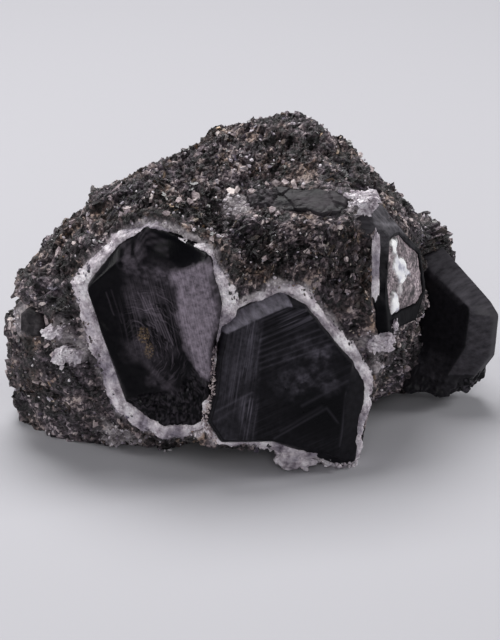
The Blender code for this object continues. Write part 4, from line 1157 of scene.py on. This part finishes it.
# %% Feldspar material
def feldspar(name, stops, soft):
    """White grains: noise picks the tone, a wider one makes some areas greyer, cells give the bumps."""
    material, tree, shader = finish(name, 0.48, 1.53)
    shader.inputs["Subsurface Weight"].default_value = soft
    shader.inputs["Subsurface Radius"].default_value = (1.0, 0.9, 0.85)
    shader.inputs["Subsurface Scale"].default_value = 0.5 * MM
    place = add(tree, "ShaderNodeTexCoord").outputs["Object"]
    patch = add(tree, "ShaderNodeTexNoise", {"Vector": place, "Scale": 0.42 * PER_MM, "Detail": 5.0,
                                             "Roughness": 0.65})
    area = add(tree, "ShaderNodeTexNoise", {"Vector": place, "Scale": 0.17 * PER_MM, "Detail": 3.0})
    tint = add(tree, "ShaderNodeValToRGB", {0: area.outputs["Fac"]}, stops=[
        (0.36, "#a5a0aa"), (0.48, "#ece8eb"), (0.6, "#ffffff")]).outputs["Color"]
    base = add(tree, "ShaderNodeValToRGB", {0: patch.outputs["Fac"]}, stops=stops).outputs["Color"]
    tone = add(tree, "ShaderNodeVectorMath", {0: base, 1: tint}, operation="MULTIPLY")
    tree.links.new(tone.outputs[0], shader.inputs["Base Color"])
    cell = add(tree, "ShaderNodeTexVoronoi", {"Vector": place, "Scale": 1.7 * PER_MM})
    bump = add(tree, "ShaderNodeBump", {"Height": cell.outputs["Distance"], "Strength": 0.9,
                                        "Distance": 0.3 * MM})
    tree.links.new(bump.outputs[0], shader.inputs["Normal"])
    return material


feldspar_white = feldspar("plagioclase_white", [(0.28, "#776f77"), (0.40, "#b5acb4"), (0.52, "#e9e3e8"),
                                                (0.7, "#fbf8fa")], 0.15)

# %% [markdown]
# ### Bands round the large crystals
# A band is a profile carried along the outline of its crystal: it starts under the edge, rises to a
# crest and falls to the rock. Its width changes from side to side, and noise and grains roughen it.
# BAND is its width at each corner of the outline, CREST how far behind the face its crest lies.


# %% Bands
LEFT_BAND = (1.1, 0.2, 0.0, 0.2, 2.0, 1.2, 0.0, 0.0, 0.9, 1.6, 2.2, 2.8, 3.6, 3.2, 2.2)
LEFT_CREST = (2.2, 3.2, 3.4, 3.0, 1.8, 1.8, 3.6, 4.0, 2.6, 2.6, 2.4, 2.0, 1.6, 1.6, 1.8)
CENTRE_BAND = (1.8, 1.2, 1.3, 1.4, 1.5, 1.2, 1.3, 1.1, 0.5, 0.5, 1.4, 0.7, 0.1, 0.0, 0.6)
CENTRE_CREST = (4.5, 4.8, 3.9, 1.3, 0.9, 1.6, 1.6, 1.6, 2.0, 1.8, 1.6, 1.4, 2.6, 3.0, 2.0)


def band_mesh(seat, outline, widths, crests, foot, seed):
    """Section corners near, near top, crest, far, foot, spread over 22 steps and carried along the
    outline in steps of a third of a millimetre; cloud and grain relief along the outward way."""
    inner = grown(outline, -1.2)  # the band starts under the edge of the crystal
    outer = np.array(outline, float)
    outer[:, :2] = grown_by(outline, widths)
    lengths = np.linalg.norm(np.roll(outer, -1, 0)[:, :2] - outer[:, :2], axis=1)
    count = int(lengths.sum() / 0.33)
    near_row, far_row = (along_ring(row[:, :2], count, lengths) for row in (inner, outer))
    spot = placed(seat, np.concatenate([far_row, np.full((count, 1), 3.0)], 1))
    way = unit(far_row - near_row)
    far_row = far_row + way * (0.7 * cloud(spot, 2.8, seed, 4))[:, None]
    crest = along_ring(np.array(crests)[:, None], count, lengths)[:, 0]
    top = crest + 0.35 * cloud(spot, 3.0, seed + 5, 2)
    middle = near_row * 0.45 + far_row * 0.55
    corners = [(near_row, top * 0 + foot), (near_row, top + 0.3), (middle, top), (far_row, top + 1.0),
               (far_row + way * 0.6, top * 0 + foot)]
    rows = np.stack([np.concatenate([at, depth[:, None]], 1) for at, depth in corners])
    parts = []
    for r, steps in enumerate((3, 5, 6, 6, 2)):
        s = np.arange(steps)[:, None, None] / steps
        parts.append(rows[r] * (1 - s) + rows[(r + 1) % 5] * s)
    grid = np.concatenate(parts)
    grid = (np.roll(grid, 1, 0) + 2 * grid + np.roll(grid, -1, 0)) / 4
    k, j = np.meshgrid(np.arange(len(grid)), np.arange(count), indexing="ij")
    a, b = k * count + j, k * count + (j + 1) % count
    c, d = (k + 1) % len(grid) * count + (j + 1) % count, (k + 1) % len(grid) * count + j
    faces = triangles(np.stack([a, d, c, b], -1).reshape(-1, 4))
    points = placed(seat, grid.reshape(-1, 3))
    seam, own = grains(points, 0.9, seed + 9)
    push = 0.28 * cloud(points, 2.0, seed + 12, 4) - 0.12 * np.exp(-seam / 0.12) + 0.12 * (own - 0.5)
    return points, faces, push


points_a, faces_a, push_a = band_mesh(LEFT_SEAT, LEFT_OUTLINE, LEFT_BAND, LEFT_CREST, 7.0, 21)
points_b, faces_b, push_b = band_mesh(CENTRE_SEAT, CENTRE_OUTLINE, CENTRE_BAND, CENTRE_CREST, 8.6, 31)
band_points, band_faces = joined((points_a, faces_a), (points_b, faces_b))
band_out = normals(band_points, band_faces)
print("grid corners in the bands:", len(points_a), "and", len(points_b))

# %% [markdown]
# ### Lumps
# The tongue below the centre crystal and the patches that stand alone are rough lumps: a ball,
# stretched, with the same cloud and grain relief. They are brought to the rock surface.

# %% Lumps
PATCHES = {  # place, half sizes and seed of each lump
    "feldspar_left": [((-37.4, -15.0, 27.2), (2.3, 0.9, 1.2), 4),
                      ((-33.6, -16.4, 23.6), (2.4, 0.9, 1.4), 5)],
    "feldspar_right": [((23.6, -13.5, 25.2), (2.6, 1.9, 2.1), 6),
                       ((28.0, -12.0, 27.2), (1.9, 1.5, 1.1), 8)],
    "feldspar_strip": [((26.0, -12.6, 40.9), (0.9, 1.5, 6.9), 7)],
    "feldspar_top": [((20.8, -7.4, 50.8), (3.2, 2.0, 2.1), 9)],
}
STRIP_FORM = (0.65, 0.3)  # how much of a box the strip is, and how far it leans back
SPLINTERS = 260
TONGUE = ((15.8, -23.4, 2.6), (4.2, 1.5, 3.2), 11)  # in the plane of the centre crystal


def on_rock(point):
    """The place of the rock surface in the direction of a point."""
    way = np.array(point, float) - ROCK_CENTRE
    return rock_surface(way[None] / np.linalg.norm(way))[0][0]


def lump_mesh(middle, half, seed, square=0.0, lean=0.0, steps=16):
    """A ball, partly blown up to a box, times half size, times 0.7 to 1.1 by a cloud, plus grains."""
    ball, faces = round_grid(steps)
    shape = ball * (1 - square) + square * ball / np.abs(ball).max(1, keepdims=True)
    points = middle + shape * (0.9 + (0.35 - 0.28 * square) * cloud(ball * 4, 1.8, seed, 4))[:, None] * half
    points = points + ball * (blocks(points, 1.1, 0.16, 0.3, seed + 3) * (1 - square))[:, None]
    points[:, 1] += lean * (points[:, 2] - middle[2])
    points[:, 2] = np.maximum(points[:, 2], 0)
    return points, faces


tongue = lump_mesh(placed(CENTRE_SEAT, np.array([TONGUE[0]]))[0], np.array(TONGUE[1]), TONGUE[2])
moved = band_points + band_out * np.concatenate([push_a, push_b])[:, None]
moved[:, 2] = np.maximum(moved[:, 2], 0)
add_piece("feldspar_bands", *joined((moved, band_faces), tongue), feldspar_white, "feldspar")
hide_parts("feldspar_rim")
for name, lumps in PATCHES.items():
    form = STRIP_FORM if name == "feldspar_strip" else (0.0, 0.0)
    body = joined(*[lump_mesh(on_rock(at), np.array(half), seed, *form) for at, half, seed in lumps])
    if name != "feldspar_strip":
        at, corner = scatter(*body, SPLINTERS)
        out = normals(*body)[corner]
        at, out = at[at[:, 2] > 1], out[at[:, 2] > 1]
        size = chance.uniform(0.25, 0.8, len(at))
        facing = unit(out + 0.8 * chance.normal(size=out.shape))
        along, stretch = unit(chance.normal(size=out.shape)), 1 + 1.2 * chance.random(len(at))
        body = joined(body, plates(at - 0.1 * out, facing, along, size, 0.5 * size, stretch))
    add_piece(name + "_lump", *body, feldspar_white, "feldspar", smooth=False)
    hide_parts(name)

# %% [markdown]
# ### Filling of the edge crystal
# White and bluish blobs on a pinkish grey, granular ground. Finish: **plagioclase feldspar, granular,
# hardly shining**.

# %% Filling
filling_outline = grown(window, 0.25)
rings = [flat(grown(window, -0.9), 0.0), flat(filling_outline, 0.35), flat(filling_outline, 2.1)]


def blob(p, points):
    """Three white blobs one above the other, with wavy edges: 1 in a blob, 0 outside."""
    bent = p[:, :2] + 1.2 * np.stack([cloud(points, 2.6, 182, 4), cloud(points, 2.6, 185, 4)], -1)
    wedge = outside(bent, [(-2.6, 7.8), (2.1, -0.4), (-1.8, -0.2), (-5.2, 3.2)])
    middle = np.clip(0.5 - wedge / 0.7, 0, 1)
    total = near(bent, -3.9, 8.8, 2.3, 2.6) + near(bent, -5.6, -2.4, 2.2, 2.7)
    total += 0.5 * near(bent, -2.6, -0.8, 1.4, 2.8)
    return np.clip(np.maximum(2.6 * total - 0.9, middle), 0, 1)


def filling_relief(p, level, points):
    """Blobs that swell out and a granular ground."""
    swollen = 0.5 * blob(p, points) + 0.12 * cloud(points, 3.0, 180, 3) + 0.16 * cloud(points, 0.8, 181)
    return swollen * (level < 2)


points, faces, p, level = skin(EDGE_SEAT, rings, (26, 5, 4, 2), 180, 1, filling_relief)
filling_shade = 0.85 + 0.5 * cloud(points, 1.8, 190, 3) + 0.7 * near(p, 4.8, -3.0, 1.6, 2.8)
filling_shade -= 0.45 * near(p, 0.0, -4.5, 5.5, 2.6) + 0.25 * near(p, -6.0, 1.0, 2.4, 3.4)
filling_shade = np.clip(np.maximum(filling_shade, 1.15 * blob(p, points)), 0.12, 1.5)
filling, tree, shader = finish("plagioclase_filling", 0.45, 1.53)
blob_in = add(tree, "ShaderNodeAttribute", attribute_name="blob").outputs["Fac"]
place = add(tree, "ShaderNodeTexCoord").outputs["Object"]
grit = add(tree, "ShaderNodeTexNoise", {"Vector": place, "Scale": 1.5 * PER_MM, "Detail": 4.0,
                                        "Roughness": 0.7}).outputs["Fac"]
soft = add(tree, "ShaderNodeTexNoise", {"Vector": place, "Scale": 0.4 * PER_MM, "Detail": 4.0})
pink = add(tree, "ShaderNodeValToRGB", {0: grit}, stops=[
    (0.38, "#2a2427"), (0.5, "#8b7c82"), (0.64, "#d8c9cb")]).outputs["Color"]
white_blue = add(tree, "ShaderNodeValToRGB", {0: soft.outputs["Fac"]}, stops=[
    (0.3, "#a9a9b8"), (0.42, "#e4e4ea"), (0.55, "#ffffff")]).outputs["Color"]
both = add(tree, "ShaderNodeMix", {0: blob_in, 6: pink, 7: white_blue}, data_type="RGBA").outputs[2]
shade_in = add(tree, "ShaderNodeAttribute", attribute_name="shade").outputs["Fac"]
shaded = add(tree, "ShaderNodeVectorMath", {0: both, "Scale": shade_in}, operation="SCALE").outputs[0]
tree.links.new(shaded, shader.inputs["Base Color"])
bump = add(tree, "ShaderNodeBump", {"Height": grit, "Strength": 0.4, "Distance": 0.3 * MM})
tree.links.new(bump.outputs[0], shader.inputs["Normal"])
add_piece("feldspar_filling_mass", points, faces, filling, "feldspar",
          marks={"blob": blob(p, points), "shade": filling_shade}, face_map=p[:, :2] / 10)
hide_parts("feldspar_filling")

# %% [markdown]
# ### Single grains of feldspar
# Small angular grains: a ball of twenty triangles with its corners moved in and out. They crowd where
# the share of feldspar is high, so the bands end raggedly in the mica.

# %% Grains
GOLD = (1 + 5**0.5) / 2
BALL = unit(np.array([
    (-1, GOLD, 0), (1, GOLD, 0), (-1, -GOLD, 0), (1, -GOLD, 0), (0, -1, GOLD), (0, 1, GOLD),
    (0, -1, -GOLD), (0, 1, -GOLD), (GOLD, 0, -1), (GOLD, 0, 1), (-GOLD, 0, -1), (-GOLD, 0, 1)]))
BALL_FACES = np.array([(0, 11, 5), (0, 5, 1), (0, 1, 7), (0, 7, 10), (0, 10, 11), (1, 5, 9), (5, 11, 4),
                       (11, 10, 2), (10, 7, 6), (7, 1, 8), (3, 9, 4), (3, 4, 2), (3, 2, 6), (3, 6, 8),
                       (3, 8, 9), (4, 9, 5), (2, 4, 11), (6, 2, 10), (8, 6, 7), (9, 8, 1)])
ROCK_TRIES, BAND_TRIES, BELOW_GRAINS = 26000, 1500, 150


def pebbles(at, half):
    """Corner = middle + turned ball corner times half sizes times 0.7 to 1.25 by chance."""
    count = len(at)
    turn = np.linalg.qr(chance.normal(size=(count, 3, 3)))[0]
    turn *= np.sign(np.linalg.det(turn))[:, None, None]
    shape = BALL[None] * chance.uniform(0.7, 1.25, (count, len(BALL), 1)) * half[:, None]
    points = (at[:, None] + np.einsum("nij,nkj->nki", turn, shape)).reshape(-1, 3)
    points[:, 2] = np.maximum(points[:, 2], 0)
    return points, repeated(BALL_FACES, len(BALL), count)


at, corner = scatter(ground, ground_faces, ROCK_TRIES)
share = feldspar_share(at)
keep = clear_of_crystals(at, 0.3) & (at[:, 2] > 0.02) & (chance.random(len(at)) < share * 0.9)
at = at[keep] + rock_out[corner[keep]] * chance.uniform(-0.05, 0.45, (keep.sum(), 1))
more = scatter(moved, band_faces, BAND_TRIES)[0]
ok = clear_of_crystals(more, 0.1)
below = np.linspace([17.0, -22.8, 2.4], [28.0, -27.2, 2.0], BELOW_GRAINS)
below = below + chance.normal(size=(BELOW_GRAINS, 3)) * [0.5, 0.35, 0.6]
at = np.concatenate([at, more[ok], placed(CENTRE_SEAT, below)])
half = np.clip(chance.lognormal(-1.35, 0.35, len(at)), 0.14, 0.6)[:, None]
half = half * chance.uniform(0.4, 1.4, (len(at), 3))
add_piece("feldspar_grains", *pebbles(at, half), feldspar_white, "feldspar", smooth=False)

# %% [markdown]
# Mica also lies over the outer edges of the bands, so that they fade into the rock.

# %% Mica over the bands
OVER_TRIES, LEFT_REACH, CENTRE_REACH = 5200, 2.4, 1.3
at, corner = scatter(moved, band_faces, OVER_TRIES)
out = band_out[corner]
beyond = np.where(corner < len(points_a),
                  outside(in_plane(LEFT_SEAT, at)[:, :2], LEFT_OUTLINE) / LEFT_REACH,
                  outside(in_plane(CENTRE_SEAT, at)[:, :2], CENTRE_OUTLINE) / CENTRE_REACH)
likely = np.clip(1.6 * (beyond + 1.2 * cloud(at, 2.0, 210, 3) - 0.75), 0, 0.6)
keep = (chance.random(len(at)) < likely) & clear_of_crystals(at, 0.5)
at, out = at[keep], out[keep]
facing = unit(out + 0.6 * unit(chance.normal(size=at.shape)))
half = chance.uniform(0.15, 0.45, len(at))
along, stretch = unit(chance.normal(size=at.shape)), chance.uniform(1, 2, len(at))
points, faces = plates(at, facing, along, half, 0.5 * half, stretch)
dark_ones = len(at) // 3
split = dark_ones * 2 * CORNERS
for name, material, own_points, own_faces in (
    ("mica_black_on_bands", mica_black, points[:split], faces[:dark_ones * len(PLATE)]),
    ("mica_silver_on_bands", mica_silver, points[split:], faces[dark_ones * len(PLATE):] - split),
):
    add_piece(name, own_points, own_faces, material, "mica_rock", smooth=False,
              marks={"tone": np.repeat(chance.random(len(own_points) // (2 * CORNERS)), 2 * CORNERS)})

# %% [markdown]
# A few hundred larger, flatter grains lie in the rock: **pinkish feldspar**. Crumbs of it fill the
# seam between the left and the centre crystal, and near the top right is a small nest that **iron
# has stained** yellow brown.

# %% Larger grains
LARGE_GRAINS = [
    (-9.7, 8.2, 56.9), (-10.8, 7.0, 57.2), (-8.8, 7.6, 57.0), (-10.8, -7.6, 53.4), (-11.6, -9.4, 52.6),
    (-2.8, -5.8, 53.8), (-3.8, -7.0, 53.4), (-24.0, -12.5, 51.8), (-24.9, -12.6, 51.0),
    (18.9, -13.2, 42.1), (3.4, -3.9, 54.3), (5.2, -3.9, 54.4), (6.9, -4.0, 54.5), (8.7, -4.6, 54.4),
    (10.5, -5.3, 54.2), (-48.1, -3.4, 23.3), (-47.7, -4.2, 22.1), (-48.6, -3.0, 24.6),
    (-47.9, -5.0, 23.4), (-38.7, -14.6, 26.4), (-35.7, -16.0, 23.7),
]
SMALL_TRIES, BIG_TRIES, CRUMBS, STAINED = 800, 150, 190, 46
at, corner = scatter(ground, ground_faces, SMALL_TRIES)
keep = clear_of_crystals(at, 0.6) & (at[:, 2] > 0.6) & (cloud(at, 9.0, 200, 2) > -0.15)
at, out = at[keep], rock_out[corner[keep]]
half = chance.uniform(0.2, 0.6, len(at))
big, corner = scatter(ground, ground_faces, BIG_TRIES)
ok = clear_of_crystals(big, 1.4) & (big[:, 2] > 3)
more = np.array([on_rock(spot) for spot in LARGE_GRAINS])
out = np.concatenate([out, rock_out[corner[ok]], unit(more - ROCK_CENTRE)])
at = np.concatenate([at, big[ok], more])
half = np.concatenate([half, chance.uniform(0.45, 1.0, len(at) - len(half))])
facing, along = unit(out + 0.45 * chance.normal(size=out.shape)), unit(chance.normal(size=out.shape))
thick, stretch = half * chance.uniform(0.5, 1.1, len(at)), chance.uniform(1, 1.9, len(at))
flat_grains = plates(at, facing, along, half, thick, stretch)
steps = np.linspace(0, 1, CRUMBS)
seam_line = np.stack([np.interp(steps, (0, 0.42, 0.74, 1), axis) for axis in (
    (0.3, -0.8, -2.6, -0.4), (1.4, -7.7, -13.2, -18.0), (1.6, 1.2, 1.0, 1.6))], -1)
seam_line = seam_line + chance.normal(size=(CRUMBS, 3)) * [0.3, 0.4, 0.5] - [0.45, 0, -0.7]
crumbs = pebbles(placed(CENTRE_SEAT, seam_line), chance.uniform(0.07, 0.36, (CRUMBS, 3)))
feldspar_pink = feldspar("feldspar_pinkish", [(0.30, "#5e5256"), (0.42, "#a09295"), (0.56, "#cdc0be"),
                                              (0.75, "#eee3dd")], 0.1)
add_piece("feldspar_pink_grains", *joined(flat_grains, crumbs), feldspar_pink, "feldspar", smooth=False)
rusty = feldspar("feldspar_iron_stained", [(0.3, "#6f5c40"), (0.5, "#a68b5e"), (0.7, "#cdb78c")], 0.1)
nest = np.array([31.3, 13.4, 45.6]) + chance.normal(size=(STAINED, 3)) * [0.7, 0.8, 0.6]
nest = np.array([on_rock(spot) for spot in nest])
stained = pebbles(nest, chance.uniform(0.2, 0.55, (STAINED, 3)))
add_piece("feldspar_rusty_grains", *stained, rusty, "feldspar", smooth=False)

# %% [markdown]
# ## Count
# The pieces may stand a little proud of the solids; their triangles are counted here.

# %% Count the triangles
total = sum(len(o.data.polygons) for o in PIECES.values())
print("pieces:", len(PIECES), "triangles:", total)
